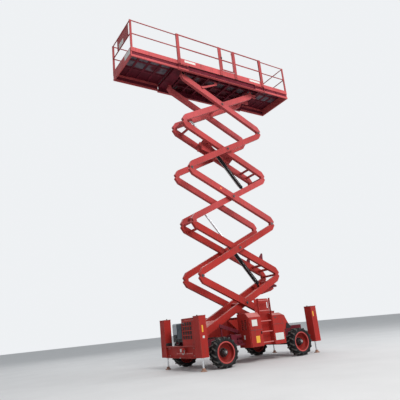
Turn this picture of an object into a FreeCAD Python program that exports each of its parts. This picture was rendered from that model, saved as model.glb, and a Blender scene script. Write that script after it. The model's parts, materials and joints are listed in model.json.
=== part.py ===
import FreeCAD, Part
import math
import os
import re

import Sketcher
from FreeCAD import Placement, Rotation, Vector

# Rough-terrain scissor lift with levelling jacks and a platform that opens at both ends.
# X runs along the machine, the near side faces -Y, Z is up and the ground is Z = 0.
# The origin is on the ground, midway between the ends of the opened platform.

doc = FreeCAD.newDocument("ScissorLift")

# Name, millimetres or degrees, what it is
SIZES = [
    # Scissor stack
    ("ArmPins", 3548, "arm length from end pin to end pin"),
    ("LiftAngle", 29.54, "slope of the pin lines as stored"),
    ("ArmDepth", 200, "depth of an arm"),
    ("ArmWidth", 115, "width of an arm"),
    ("StackGap", 10, "gap between folded arms"),
    ("OuterFace", 530, "outer face of the outer arms from the centre line"),
    ("SideGap", 14, "gap between inner and outer arms"),
    ("BasePinX", -1339, "fixed base pin"),
    ("BasePinZ", 851, "height of the base pins"),
    ("EndReach", 62, "arm end beyond its pin"),
    ("EndFace", 100, "depth of the square part of an arm end"),
    ("EndCut", 110, "length of the bevel under an arm end"),
    ("EndSlope", 38, "slope of the bevel over an arm end"),
    ("LobeRadius", 65, "round eye at an arm end"),
    ("LobeGap", 5, "gap round an eye in its fork"),
    ("TongueWidth", 45, "eye plate between the two cheeks of a fork"),
    ("ForkGap", 3, "gap between eye plate and cheek"),
    ("KnucklePin", 30, "radius of a knuckle pin"),
    ("CentrePin", 45, "radius of a centre pin"),
    ("PinCap", 58, "radius of the cap on a centre pin"),
    ("PinCapDepth", 12, "thickness of that cap"),
    ("RunFit", 0.05, "clearance round a turning pin"),
    ("SeatGap", 0.3, "clearance at a welded or bolted seat"),
    ("TubeRadius", 42, "cross tube between the inner arms"),
    ("TubeInset", 260, "end cross tubes from their arm's pin"),
    ("BraceInset", 560, "second cross tube of the even stages from the lower pin"),
    ("KnuckleTube", 36, "cross tube on a knuckle's axis"),
    ("RollerRadius", 40, "roller at a sliding arm end"),
    ("RollerWidth", 34, "width of that roller"),
    ("RollerPin", 24, "radius of the roller's stub"),
    # Lift cylinders
    ("BarrelRadius", 62, "cylinder barrel"),
    ("BarrelLength", 1800, "barrel from its base pin to its mouth"),
    ("RodRadius", 35, "cylinder rod"),
    ("RodLength", 2050, "rod from its inner end to its eye"),
    ("EyeRadius", 50, "cylinder eye"),
    ("EyeHalf", 34, "half width of a cylinder eye"),
    ("EyePin", 25, "radius of a cylinder's pins"),
    ("LugInner", 42, "inner face of a cylinder lug"),
    ("LugPlate", 12, "thickness of a cylinder lug"),
    ("LowBase", 602, "lower cylinder's base pin from the knuckle"),
    ("LowEye", 744, "lower cylinder's rod pin from the knuckle"),
    ("HighBase", 776, "upper cylinder's base pin from the knuckle"),
    ("HighEye", 540, "upper cylinder's rod pin from the knuckle"),
    # Wheels and axles
    ("AxleLeftX", -1259, "rigid axle"),
    ("AxleRightX", 1627, "steered axle"),
    ("AxleZ", 410, "axle height"),
    ("TyreHalf", 160, "half width of a tyre"),
    ("TyreMidY", 1064, "middle of a tyre from the centre line"),
    ("TyreRadius", 386, "tyre under its lugs"),
    ("LugTop", 405, "flat top of a tyre lug from the axle"),
    ("LugRoot", 20, "depth of a lug's foot in the tread"),
    ("BeadRadius", 290, "tyre bead"),
    ("HubBore", 40, "radius of the wheel spindles"),
    ("KingPinY", 800, "steering pivot from the centre line"),
    ("KingPin", 28, "radius of the steering pivot"),
    ("SteerHalf", 60, "half width of the steering forks"),
    ("AxleTube", 75, "radius of an axle tube"),
    # Chassis
    ("RailInner", 440, "inner face of a chassis rail"),
    ("RailOuter", 600, "outer face of a chassis rail"),
    ("RailLow", 500, "underside of the rails"),
    ("RailTop", 770, "top of the rails"),
    ("WallSteel", 6, "sheet steel of the housings"),
    ("JackLeftX", -1911, "left jacks"),
    ("JackRightX", 2398, "right jacks"),
    ("JackY", 1010, "jacks from the centre line"),
    ("JackWide", 230, "jack column along the machine"),
    ("JackDeep", 290, "jack column across the machine"),
    ("JackLow", 350, "foot of a jack column"),
    ("JackTop", 1430, "top of a jack column"),
    ("JackRod", 28, "radius of a jack rod"),
    ("FootRadius", 85, "jack foot"),
    ("BeamLow", 340, "underside of the end beams"),
    ("BeamTop", 660, "top of the end beams"),
    ("BoxInner", 600, "inner face of the side boxes"),
    ("BoxOuter", 1130, "outer face of the side boxes"),
    ("BoxLow", 430, "underside of the side boxes"),
    ("BoxShoulder", 1265, "top of the upright face of a side box"),
    ("BoxTop", 1390, "top of a side box"),
    ("LeftBoxStart", -316, "left side box, left end"),
    ("LeftBoxEnd", 154, "left side box, right end"),
    ("RightBoxStart", 624, "right side box, left end"),
    ("RightBoxEnd", 1045, "right side box, right end"),
    # Platform
    ("PlatformHalf", 817, "half width of the platform"),
    ("MainStart", -1670, "left end of the fixed platform"),
    ("MainEnd", 2140, "right end of the fixed platform"),
    ("DeckReach", 3380, "outer ends of the opened decks"),
    ("SideLow", 77, "platform flange below the top pins"),
    ("FloorTop", 203, "fixed floor above the top pins"),
    ("WebFace", 730, "outer face of the platform's side web"),
    ("DeckHalf", 775, "half width of a sliding deck"),
    ("RailHigh", 1336, "top rail above the top pins"),
    ("RailMid", 813, "middle rail above the top pins"),
    ("RailTube", 22, "radius of a fixed rail"),
    ("PostWide", 110, "width of a fixed rail post"),
    ("DeckTube", 18, "radius of a sliding rail"),
    ("DeckPost", 70, "width of a sliding rail post"),
    ("GateStart", 204, "gate, left end"),
    ("GateEnd", 754, "gate, right end"),
    ("GateTube", 14, "radius of the gate's uprights"),
    ("GateInset", 30, "gate's hinge tube from its post"),
    ("PadHigh", 4.7, "slide pads under the decks"),
    ("LeftOverlap", 420, "left deck inside the fixed platform"),
    ("RightOverlap", 420, "right deck inside the fixed platform"),
]

# Lengths that follow from the sizes above
FORMULAS = {
    "Rise": "ArmPins * sin(LiftAngle)",
    "Span": "ArmPins * cos(LiftAngle)",
    "Pitch": "ArmDepth + StackGap",
    "FoldAngle": "asin(Pitch / ArmPins) / 1 deg",
    "Reach": "sqrt(ArmPins ^ 2 - Pitch ^ 2)",
    "ArmTilt": "LiftAngle - FoldAngle",
    "MidX": "BasePinX + Span / 2",
    "InnerFace": "OuterFace - ArmWidth - SideGap",
    "TopZ": "BasePinZ + 5 * Rise",
    "ForkHalf": "TongueWidth / 2 + ForkGap",
    "TrackHalf": "RollerRadius + 5",
    "JackCore": "JackRod + 27",
}

sheet = doc.addObject("Spreadsheet::Sheet", "Sizes")
for row, (alias, amount, note) in enumerate(SIZES, start=1):
    sheet.set(f"A{row}", alias)
    sheet.set(f"B{row}", str(amount))
    sheet.setAlias(f"B{row}", alias)
    sheet.set(f"C{row}", note)
doc.recompute()


def bound(text):
    """A formula of size names, written as one that reads the sheet."""
    def cell(match):
        word = match.group(0)
        if word in FORMULAS:
            return f"({bound(FORMULAS[word])})"
        return f"Sizes.{word}"
    return re.sub(r"[A-Z][A-Za-z]+", cell, str(text))


def number(text):
    return float(sheet.evalExpression(bound(text)))


def bind(thing, prop, text):
    thing.setExpression(prop, bound(text))


# Each plane of a body: the role of its origin plane and the side its normal points to
PLANES = {"XY": ("XY_Plane", 1), "XZ": ("XZ_Plane", -1), "YZ": ("YZ_Plane", 1)}


def origin_part(body, role):
    return next(part for part in body.Origin.OriginFeatures if part.Role == role)


def new_body(name):
    body = doc.addObject("PartDesign::Body", name)
    body.Label = name
    return body


def add_loop(sketch, loop):
    """A circle ("circle", x, y, radius) or a closed outline of (x, y) corners."""
    if loop[0] == "circle":
        x, y, radius = loop[1:]
        centre = Vector(number(x), number(y), 0)
        index = sketch.addGeometry(Part.Circle(centre, Vector(0, 0, 1), number(radius)))
        hold(sketch, Sketcher.Constraint("Radius", index, number(radius)), radius)
        hold_point(sketch, index, 3, x, y)
        return
    points = [Vector(number(x), number(y), 0) for x, y in loop]
    first = sketch.GeometryCount
    count = len(points)
    for index in range(count):
        sketch.addGeometry(Part.LineSegment(points[index], points[(index + 1) % count]))
    for index in range(count):
        following = first + (index + 1) % count
        sketch.addConstraint(Sketcher.Constraint("Coincident", first + index, 2, following, 1))
    for index, (x, y) in enumerate(loop):
        hold_point(sketch, first + index, 1, x, y)


def hold(sketch, constraint, text):
    index = sketch.addConstraint(constraint)
    bind(sketch, f"Constraints[{index}]", text)


def hold_point(sketch, geometry, end, x, y):
    hold(sketch, Sketcher.Constraint("DistanceX", -1, 1, geometry, end, number(x)), x)
    hold(sketch, Sketcher.Constraint("DistanceY", -1, 1, geometry, end, number(y)), y)


def new_sketch(body, name, plane, level, loops):
    role, sign = PLANES[plane]
    sketch = body.newObject("Sketcher::SketchObject", name)
    sketch.AttachmentSupport = [(origin_part(body, role), "")]
    sketch.MapMode = "FlatFace"
    bind(sketch, "AttachmentOffset.Base.z", f"{sign} * ({level})")
    for loop in loops:
        add_loop(sketch, loop)
    return sketch


def pad(body, name, plane, low, high, *loops):
    """Material between two levels along the plane's normal axis."""
    level = low if PLANES[plane][1] > 0 else high
    feature = body.newObject("PartDesign::Pad", name)
    feature.Profile = new_sketch(body, name + "Sketch", plane, level, loops)
    bind(feature, "Length", f"({high}) - ({low})")
    return feature


def pocket(body, name, plane, low, high, *loops):
    """A cut between two levels along the plane's normal axis."""
    level = high if PLANES[plane][1] > 0 else low
    feature = body.newObject("PartDesign::Pocket", name)
    feature.Profile = new_sketch(body, name + "Sketch", plane, level, loops)
    bind(feature, "Length", f"({high}) - ({low})")
    return feature


def revolve(body, name, plane, axis, *loops):
    feature = body.newObject("PartDesign::Revolution", name)
    feature.Profile = new_sketch(body, name + "Sketch", plane, "0", loops)
    feature.ReferenceAxis = (origin_part(body, axis), [""])
    feature.Angle = 360
    return feature


def rectangle(x_low, x_high, y_low, y_high):
    return [(x_low, y_low), (x_high, y_low), (x_high, y_high), (x_low, y_high)]


def place(thing, x, y, z, angle="0"):
    """Put a thing at x, y, z, turned about -Y so that its +X end rises with the angle."""
    turned = f"rotation(vector(0; -1; 0); {bound(angle)})"
    spot = f"vector({bound(x)}; {bound(y)}; {bound(z)})"
    thing.setExpression("Placement", f"placement({spot}; {turned})")


def block(name, x_low, x_high, y_low, y_high, z_low, z_high):
    box = doc.addObject("Part::Box", name)
    spans = (("Length", x_low, x_high, "x"), ("Width", y_low, y_high, "y"), ("Height", z_low, z_high, "z"))
    for prop, low, high, axis in spans:
        bind(box, prop, f"({high}) - ({low})")
        bind(box, f"Placement.Base.{axis}", low)
    return box


TURN_TO = {"x": Rotation(Vector(0, 1, 0), 90), "y": Rotation(Vector(1, 0, 0), -90), "z": Rotation()}


def bar(name, axis, radius, start, end, across, along):
    """A round bar along an axis; across and along are its place on the other two axes, in order."""
    rod = doc.addObject("Part::Cylinder", name)
    rod.Placement = Placement(Vector(), TURN_TO[axis])
    bind(rod, "Radius", radius)
    bind(rod, "Height", f"({end}) - ({start})")
    others = [letter for letter in "xyz" if letter != axis]
    bind(rod, f"Placement.Base.{axis}", start)
    bind(rod, f"Placement.Base.{others[0]}", across)
    bind(rod, f"Placement.Base.{others[1]}", along)
    return rod


def joined(label, parts):
    fuse = doc.addObject("Part::MultiFuse", label)
    fuse.Label = label
    fuse.Shapes = parts
    return fuse


def together(label, parts):
    group = doc.addObject("Part::Compound", label)
    group.Label = label
    group.Links = parts
    return group


def mirrored(source, name):
    """The same piece on the far side."""
    copy = doc.addObject("Part::Mirroring", name)
    copy.Source = source
    copy.Normal = Vector(0, 1, 0)
    return copy


NODES = []


def keep(thing):
    NODES.append(thing)
    return thing


# Scissor stack. Rising arms have their upper end at +X, falling arms at -X.
STAGES = range(1, 6)


def inner_side(stage):
    return 1 if stage % 2 else -1


def end_points(side):
    """Upper and lower pin of an arm, from its middle."""
    upper = (f"{side} * Reach / 2", "Pitch / 2")
    lower = (f"{-side} * Reach / 2", "-Pitch / 2")
    return upper, lower


def arm_outline(side):
    """Box-section arm with both ends bevelled round their pins."""
    half = [
        ("Reach / 2", "ArmDepth / 2"),
        ("Reach / 2 + EndReach", "ArmDepth / 2 - EndReach * tan(EndSlope)"),
        ("Reach / 2 + EndReach", "ArmDepth / 2 - EndFace"),
        ("Reach / 2 - EndCut", "-ArmDepth / 2"),
    ]
    upper_end = [(f"{side} * ({x})", y) for x, y in half]
    lower_end = [(f"{-side} * ({x})", f"-({y})") for x, y in half]
    return upper_end + lower_end


def arm(name, stage, side, face, lower_end, upper_end, roller_side):
    """One near arm. Its lower end is a fork with a pin, its upper end an eye, or either is a roller."""
    body = new_body(name)
    half = "ArmWidth / 2"
    upper, lower = end_points(side)
    eye_cut = "LobeRadius + LobeGap"
    pad(body, name + "Beam", "XZ", f"-{half}", half, arm_outline(side))
    pad(body, name + "Eyes", "XZ", f"-{half}", half,
        ("circle", *upper, "LobeRadius"), ("circle", *lower, "LobeRadius"))
    if lower_end == "fork":
        pocket(body, name + "Fork", "XZ", "-(ForkHalf)", "ForkHalf", ("circle", *lower, eye_cut))
        pad(body, name + "Pin", "XZ", f"-{half}", half, ("circle", *lower, "KnucklePin"))
    if upper_end == "eye":
        pocket(body, name + "CheekNear", "XZ", f"-{half}", "-TongueWidth / 2", ("circle", *upper, eye_cut))
        pocket(body, name + "CheekFar", "XZ", "TongueWidth / 2", half, ("circle", *upper, eye_cut))
        pocket(body, name + "Bore", "XZ", f"-{half}", half, ("circle", *upper, "KnucklePin + RunFit"))
    pocket(body, name + "CentreBore", "XZ", f"-{half}", half, ("circle", "0", "0", "CentrePin + RunFit"))
    roller_at = lower if lower_end == "roller" else upper
    if "roller" in (lower_end, upper_end):
        inside, outside = (half, f"{half} + 15") if roller_side > 0 else (f"-{half} - 15", f"-{half}")
        start = f"{half} + 14" if roller_side > 0 else f"-{half} - 14 - RollerWidth"
        end = f"{half} + 14 + RollerWidth" if roller_side > 0 else f"-{half} - 14"
        pad(body, name + "Stub", "XZ", inside, outside, ("circle", *roller_at, "RollerPin"))
        pad(body, name + "Roller", "XZ", start, end, ("circle", *roller_at, "RollerRadius"))
    place(body, "MidX", f"-({face} - ArmWidth / 2)", f"BasePinZ + {stage - 0.5} * Rise", f"{side} * ArmTilt")
    return body


def arm_pair(kind, stage, side, face, lower_end, upper_end, roller_side=0):
    near = arm(f"{kind}{stage}Near", stage, side, face, lower_end, upper_end, roller_side)
    far = mirrored(near, f"{kind}{stage}Far")
    keep(together(f"{kind}_arms_{stage}", [near, far]))


for stage in STAGES:
    side = inner_side(stage)
    arm_pair("inner", stage, side, "InnerFace", "fork", "roller" if stage == 5 else "eye", 1)
    arm_pair("outer", stage, -side, "OuterFace", "roller" if stage == 1 else "fork", "eye", -1)

# Which inner arms carry a cylinder, with the distance of its pin from the knuckle
BASE_LUGS = {1: "LowBase", 3: "HighBase"}
ROD_LUGS = {3: "LowEye", 5: "HighEye"}


def lug_plates(body, name, *loops):
    pad(body, name + "Near", "XZ", "-LugInner - LugPlate", "-LugInner", *loops)
    pad(body, name + "Far", "XZ", "LugInner", "LugInner + LugPlate", *loops)


# Deep bracket under the lowest arms' upper end: distance before the pins' middle line, and height
BRACKET = [("850", "0"), ("790", "110"), ("720", "200"), ("300", "300"), ("160", "300"), ("110", "200"),
           ("110", "0")]


def base_bracket(body, tube_end):
    """Bracket of two plates with a belly plate, and a cross channel over the base pins."""
    outline = [(f"Reach / 2 - {back} - 60", f"-({down})") for back, down in BRACKET]
    pad(body, "BracketNear", "XZ", "-152", "-140", outline)
    pad(body, "BracketFar", "XZ", "140", "152", outline)
    belly = outline[2:6]
    lining = [(x, f"{y} + 10") for x, y in reversed(belly)]
    pad(body, "BracketBelly", "XZ", "-145", "145", belly + lining)
    channel = ("-Reach / 2 + 70", "-Reach / 2 + 580")
    pad(body, "ChannelTop", "XZ", f"-({tube_end})", tube_end,
        rectangle(*channel, "ArmDepth / 2 - 14", "ArmDepth / 2 - 4"))
    for word, low, high in (("Near", f"-({tube_end})", f"-({tube_end}) + 12"),
                            ("Far", f"{tube_end} - 12", tube_end)):
        pad(body, "ChannelSide" + word, "XZ", low, high, rectangle(*channel, "0", "ArmDepth / 2 - 4"))


def cross_tubes(stage):
    """Cross tubes, centre pins and cylinder lugs of one pair of inner arms."""
    side = inner_side(stage)
    name = f"Tubes{stage}"
    body = new_body(name)
    body.Label = f"inner_tubes_{stage}"
    tube_end = "InnerFace - ArmWidth - SeatGap"
    tube_x = "Reach / 2 - TubeInset"
    circles = [("circle", tube_x, "0", "TubeRadius"), ("circle", f"-({tube_x})", "0", "TubeRadius")]
    pad(body, name + "Ends", "XZ", f"-({tube_end})", tube_end, *circles)
    lower = end_points(side)[1]
    pad(body, name + "Knuckle", "XZ", f"-({tube_end})", tube_end, ("circle", *lower, "KnuckleTube"))
    if stage % 2 == 0:
        brace = ("circle", "Reach / 2 - BraceInset", "0", "TubeRadius")
        pad(body, name + "Brace", "XZ", f"-({tube_end})", tube_end, brace)
    if stage == 1:
        base_bracket(body, tube_end)
    if stage in BASE_LUGS:
        away = BASE_LUGS[stage]
        pin = (f"Reach / 2 - {away} * cos(FoldAngle)", f"Pitch / 2 - {away} * sin(FoldAngle)")
        foot = (f"Reach / 2 - {away}", "-ArmDepth / 2 + TubeRadius + 2")
        pad(body, name + "BaseTube", "XZ", f"-({tube_end})", tube_end, ("circle", *foot, "TubeRadius"))
        plate = [
            (f"{pin[0]} - 50", foot[1]),
            (f"{pin[0]} + 50", foot[1]),
            (f"{pin[0]} + 48", pin[1]),
            (f"{pin[0]} + 25", f"{pin[1]} + 42"),
            (f"{pin[0]} - 25", f"{pin[1]} + 42"),
            (f"{pin[0]} - 48", pin[1]),
        ]
        lug_plates(body, name + "BaseLug", plate)
        pad(body, name + "BasePin", "XZ", "-LugInner - LugPlate - 8", "LugInner + LugPlate + 8",
            ("circle", *pin, "EyePin"))
    if stage in ROD_LUGS:
        away = ROD_LUGS[stage]
        pin = (f"-Reach / 2 + {away} * cos(FoldAngle)", f"-Pitch / 2 + {away} * sin(FoldAngle)")
        plate = [
            ("-Reach / 2 + TubeInset", "-TubeRadius + 6"),
            (f"{pin[0]} + 20", f"{pin[1]} - 38"),
            (f"{pin[0]} + 42", pin[1]),
            (f"{pin[0]} + 20", f"{pin[1]} + 38"),
            ("-Reach / 2 + TubeInset", "TubeRadius - 6"),
        ]
        lug_plates(body, name + "RodLug", plate)
        for word, low, high in (("Near", "-LugInner - LugPlate - 10", "-LugInner - LugPlate"),
                                ("Far", "LugInner + LugPlate", "LugInner + LugPlate + 10")):
            pad(body, name + "RodCap" + word, "XZ", low, high, ("circle", *pin, "EyePin"))
    pin_end = "OuterFace + 3"
    if side > 0:
        pad(body, name + "Centre", "XZ", f"-({pin_end})", pin_end, ("circle", "0", "0", "CentrePin"))
    else:
        pad(body, name + "CentreNear", "XZ", f"-({pin_end})", "-(InnerFace - ArmWidth - 20)",
            ("circle", "0", "0", "CentrePin"))
        pad(body, name + "CentreFar", "XZ", "InnerFace - ArmWidth - 20", pin_end,
            ("circle", "0", "0", "CentrePin"))
    pad(body, name + "CapNear", "XZ", f"-({pin_end}) - PinCapDepth", f"-({pin_end})",
        ("circle", "0", "0", "PinCap"))
    pad(body, name + "CapFar", "XZ", pin_end, f"{pin_end} + PinCapDepth", ("circle", "0", "0", "PinCap"))
    place(body, "MidX", "0", f"BasePinZ + {stage - 0.5} * Rise", f"{side} * ArmTilt")
    keep(body)


for stage in STAGES:
    cross_tubes(stage)

# Lift cylinders: name, stage of the base arm, base pin and rod pin from their knuckles
CYLINDERS = [("low", 1, "LowBase", "LowEye"), ("high", 3, "HighBase", "HighEye")]

for word, stage, base, eye in CYLINDERS:
    run_x = f"(({base} + {eye}) * cos(LiftAngle) - Span)"
    run_z = f"(({base} + {eye}) * sin(LiftAngle) + Rise)"
    length = f"sqrt({run_x} ^ 2 + {run_z} ^ 2)"
    slope = f"atan2({run_z}; {run_x}) / 1 deg"
    base_x = f"BasePinX + Span - {base} * cos(LiftAngle)"
    base_z = f"BasePinZ + {stage} * Rise - {base} * sin(LiftAngle)"
    barrel = new_body(f"cylinder_{word}_barrel")
    pad(barrel, f"{word}Eye", "XZ", "-EyeHalf", "EyeHalf", ("circle", "0", "0", "EyeRadius"))
    pad(barrel, f"{word}Neck", "YZ", "EyePin + 10", "EyeRadius + 22", ("circle", "0", "0", "EyeHalf - 4"))
    pad(barrel, f"{word}Tube", "YZ", "EyeRadius + 20", "BarrelLength - 60", ("circle", "0", "0", "BarrelRadius"))
    pad(barrel, f"{word}Gland", "YZ", "BarrelLength - 60", "BarrelLength",
        ("circle", "0", "0", "BarrelRadius + 8"))
    pocket(barrel, f"{word}Inside", "YZ", "EyeRadius + 80", "BarrelLength",
           ("circle", "0", "0", "RodRadius + RunFit"))
    pocket(barrel, f"{word}EyeBore", "XZ", "-BarrelRadius", "BarrelRadius",
           ("circle", "0", "0", "EyePin + RunFit"))
    place(barrel, base_x, "0", base_z, slope)
    keep(barrel)
    rod = new_body(f"cylinder_{word}_rod")
    pad(rod, f"{word}Rod", "YZ", "-RodLength", "-EyeRadius / 2", ("circle", "0", "0", "RodRadius"))
    pad(rod, f"{word}RodEye", "XZ", "-EyeHalf", "EyeHalf", ("circle", "0", "0", "EyeRadius"))
    pad(rod, f"{word}RodPin", "XZ", "-EyeHalf - 4", "EyeHalf + 4", ("circle", "0", "0", "EyePin"))
    place(rod, f"{base_x} + {run_x}", "0", f"{base_z} + {run_z}", slope)
    keep(rod)

# Wheels: name, axle, near (-1) or far (1)
WHEELS = [
    ("near_left", "AxleLeftX", -1),
    ("near_right", "AxleRightX", -1),
    ("far_left", "AxleLeftX", 1),
    ("far_right", "AxleRightX", 1),
]
LUG_COUNT = 15
SIDES = 2 * LUG_COUNT


def ring_corners(level, radius):
    """Corners of a many-sided ring, whose flats lie at the radius and face each lug squarely."""
    reach = radius / math.cos(math.pi / SIDES)
    angles = [2 * math.pi * (step + 0.5) / SIDES for step in range(SIDES)]
    return [Vector(reach * math.sin(angle), level, reach * math.cos(angle)) for angle in angles]


def carcass(profile):
    """Solid ring of flat panels through a closed profile of (level, radius)."""
    rings = [ring_corners(number(level), number(radius)) for level, radius in profile]
    panels = []
    for row, ring in enumerate(rings):
        beside = rings[(row + 1) % len(rings)]
        for step in range(SIDES):
            after = (step + 1) % SIDES
            corners = [ring[step], ring[after], beside[after], beside[step], ring[step]]
            panels.append(Part.Face(Part.makePolygon(corners)))
    solid = Part.Solid(Part.makeShell(panels))
    if solid.Volume < 0:
        solid.reverse()
    return solid


def lug(low, high, slant, turn):
    """Slanted tread lug: low and high are its ends across the tread."""
    root = number("TyreRadius - LugRoot")
    low, high = number(low), number(high)
    corners = [(-22 - slant, low), (22 - slant, low), (22 + slant, high), (-22 + slant, high), (-22 - slant, low)]
    foot = Part.Face(Part.makePolygon([Vector(x, y, root) for x, y in corners]))
    block_of_rubber = foot.extrude(Vector(0, 0, number("LugTop") - root))
    block_of_rubber.rotate(Vector(), Vector(0, 1, 0), turn)
    return block_of_rubber


def tyre(name, x, side):
    profile = [
        ("-TyreHalf + 30", "BeadRadius"),
        ("TyreHalf - 30", "BeadRadius"),
        ("TyreHalf", "BeadRadius + 50"),
        ("TyreHalf - 8", "TyreRadius - 16"),
        ("TyreHalf - 34", "TyreRadius"),
        ("-TyreHalf + 34", "TyreRadius"),
        ("-TyreHalf + 8", "TyreRadius - 16"),
        ("-TyreHalf", "BeadRadius + 50"),
    ]
    lugs = []
    for step in range(LUG_COUNT):
        turn = step * 360 / LUG_COUNT
        lugs.append(lug("-TyreHalf + 6", "-6", 26, turn))
        lugs.append(lug("6", "TyreHalf - 6", -26, turn + 180 / LUG_COUNT))
    wheel = doc.addObject("Part::Feature", name)
    wheel.Label = name
    wheel.Shape = carcass(profile).fuse(lugs).removeSplitter()
    place(wheel, x, f"{side} * TyreMidY", "AxleZ")
    keep(wheel)


def rim(name, x, side):
    """Dished steel wheel; the dish opens outward."""
    body = new_body(name)
    profile = [
        (f"{side} * (TyreHalf - 24)", "BeadRadius - SeatGap"),
        (f"{side} * (-TyreHalf + 24)", "BeadRadius - SeatGap"),
        (f"{side} * (-TyreHalf + 24)", "BeadRadius - 14"),
        (f"{side} * (-20)", "BeadRadius - 14"),
        (f"{side} * (-44)", "BeadRadius - 70"),
        (f"{side} * (-44)", "HubBore + RunFit"),
        (f"{side} * 80", "HubBore + RunFit"),
        (f"{side} * 80", "HubBore + 30"),
        (f"{side} * 20", "HubBore + 62"),
        (f"{side} * (-26)", "HubBore + 66"),
        (f"{side} * (-26)", "BeadRadius - 84"),
        (f"{side} * 6", "BeadRadius - 26"),
        (f"{side} * (TyreHalf - 30)", "BeadRadius - 18"),
        (f"{side} * (TyreHalf - 24)", "BeadRadius - 10"),
    ]
    revolve(body, name + "Dish", "YZ", "Y_Axis", profile)
    place(body, x, f"{side} * TyreMidY", "AxleZ")
    keep(body)


for word, x, side in WHEELS:
    tyre(f"tyre_{word}", x, side)
    rim(f"rim_{word}", x, side)

# Rigid axle: tube, hub flanges and spindles in one piece
keep(joined("axle_left", [
    bar("LeftTube", "y", "AxleTube", "-840", "840", "AxleLeftX", "AxleZ"),
    bar("LeftFlangeNear", "y", "130", "-TyreMidY + 160", "-840", "AxleLeftX", "AxleZ"),
    bar("LeftFlangeFar", "y", "130", "840", "TyreMidY - 160", "AxleLeftX", "AxleZ"),
    bar("LeftSpindles", "y", "HubBore", "-TyreMidY - 60", "TyreMidY + 60", "AxleLeftX", "AxleZ"),
    block("LeftPads", "AxleLeftX - 90", "AxleLeftX + 90", "-RailOuter", "RailOuter", "AxleZ", "RailLow"),
]))

# Steered axle: beam with a fork for each steering knuckle
steer = new_body("axle_right")
beam_end = "KingPinY - 90"
pad(steer, "SteerTube", "XZ", f"-({beam_end})", beam_end, ("circle", "0", "0", "AxleTube"))
pad(steer, "SteerPads", "XY", "0", "RailLow - AxleZ", rectangle("-90", "90", "-RailOuter", "RailOuter"))
for word, sign, low, high in (("Near", "-", "-KingPinY", f"-({beam_end})"), ("Far", "", beam_end, "KingPinY")):
    pad(steer, "Fork" + word, "XZ", low, high, rectangle("-SteerHalf", "SteerHalf", "-120", "120"))
    pad(steer, "ForkEnd" + word, "XY", "-120", "120", ("circle", "0", f"{sign}KingPinY", "SteerHalf"))
for word, low, high in (("Near", "-KingPinY - SteerHalf - 1", f"-({beam_end})"),
                        ("Far", beam_end, "KingPinY + SteerHalf + 1")):
    pocket(steer, "ForkGap" + word, "XZ", low, high, rectangle("-SteerHalf - 1", "SteerHalf + 1", "-75", "75"))
for word, sign in (("Near", "-"), ("Far", "")):
    pocket(steer, "KingBore" + word, "XY", "-130", "130", ("circle", "0", f"{sign}KingPinY", "KingPin + RunFit"))
    pad(steer, "ForkRoot" + word, "XZ", f"{sign}({beam_end}) - 10", f"{sign}({beam_end}) + 10",
        rectangle("-SteerHalf", "SteerHalf", "-120", "120"))
place(steer, "AxleRightX", "0", "AxleZ")
keep(steer)


def knuckle(name, side):
    """Steering knuckle with its king pin and wheel spindle."""
    body = new_body(name)
    pad(body, name + "King", "XY", "-122", "122", ("circle", "0", "0", "KingPin"))
    pad(body, name + "Yoke", "XY", "-70", "70", rectangle("-50", "50", "-50", "50"))
    near, far = ("-TyreMidY + KingPinY - 60", "-50") if side < 0 else ("50", "TyreMidY - KingPinY + 60")
    pad(body, name + "Spindle", "XZ", near, far, ("circle", "0", "0", "HubBore"))
    root = "SteerHalf + 8"
    low, high = ("-TyreMidY + KingPinY + 160", f"-({root})") if side < 0 else (root, "TyreMidY - KingPinY - 160")
    pad(body, name + "Flange", "XZ", low, high, ("circle", "0", "0", "110"))
    place(body, "AxleRightX", f"{side} * KingPinY", "AxleZ")
    keep(body)


knuckle("knuckle_near", -1)
knuckle("knuckle_far", 1)

# Levelling jacks: name, column, side
JACKS = [
    ("near_left", "JackLeftX", -1),
    ("near_right", "JackRightX", -1),
    ("far_left", "JackLeftX", 1),
    ("far_right", "JackRightX", 1),
]

columns = []
for word, x, side in JACKS:
    column = new_body(f"Column_{word}")
    half_x = "JackWide / 2"
    half_y = "JackDeep / 2"
    inner_x = f"{half_x} - WallSteel"
    inner_y = f"{half_y} - WallSteel"
    pad(column, word + "Case", "XY", "JackLow", "JackTop", rectangle(f"-{half_x}", half_x, f"-{half_y}", half_y))
    pocket(column, word + "Hollow", "XY", "JackLow", "JackTop - 12",
           rectangle(f"-({inner_x})", inner_x, f"-({inner_y})", inner_y))
    pad(column, word + "Cylinder", "XY", "JackLow + 20", "JackTop - 12", ("circle", "0", "0", "JackCore"))
    pocket(column, word + "Bore", "XY", "JackLow", "JackTop - 60", ("circle", "0", "0", "JackRod + RunFit"))
    pad(column, word + "Cap", "XY", "JackTop", "JackTop + 12",
        rectangle(f"-{half_x} - 8", f"{half_x} + 8", f"-{half_y} - 8", f"{half_y} + 8"))
    place(column, x, f"{side} * JackY", "0")
    columns.append(column)
keep(together("jack_columns", columns))

for word, x, side in JACKS:
    leg = new_body(f"jack_leg_{word}")
    foot = [("0", "0"), ("FootRadius", "0"), ("FootRadius", "16"), ("JackRod + 20", "34"),
            ("JackRod + 14", "80"), ("JackRod", "86"), ("JackRod", "1080"), ("0", "1080")]
    revolve(leg, word + "Leg", "XZ", "Z_Axis", foot)
    place(leg, x, f"{side} * JackY", "0")
    keep(leg)

# Chassis: two rails, cross members, base lugs and the roller tracks
FRAME_LEFT = "JackLeftX + JackWide / 2"
FRAME_RIGHT = "JackRightX - JackWide / 2"
members = []
for word, sign in (("Near", -1), ("Far", 1)):
    low, high = ("-RailOuter", "-RailInner") if sign < 0 else ("RailInner", "RailOuter")
    members.append(block("Rail" + word, FRAME_LEFT, FRAME_RIGHT, low, high, "RailLow", "RailTop"))
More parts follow.
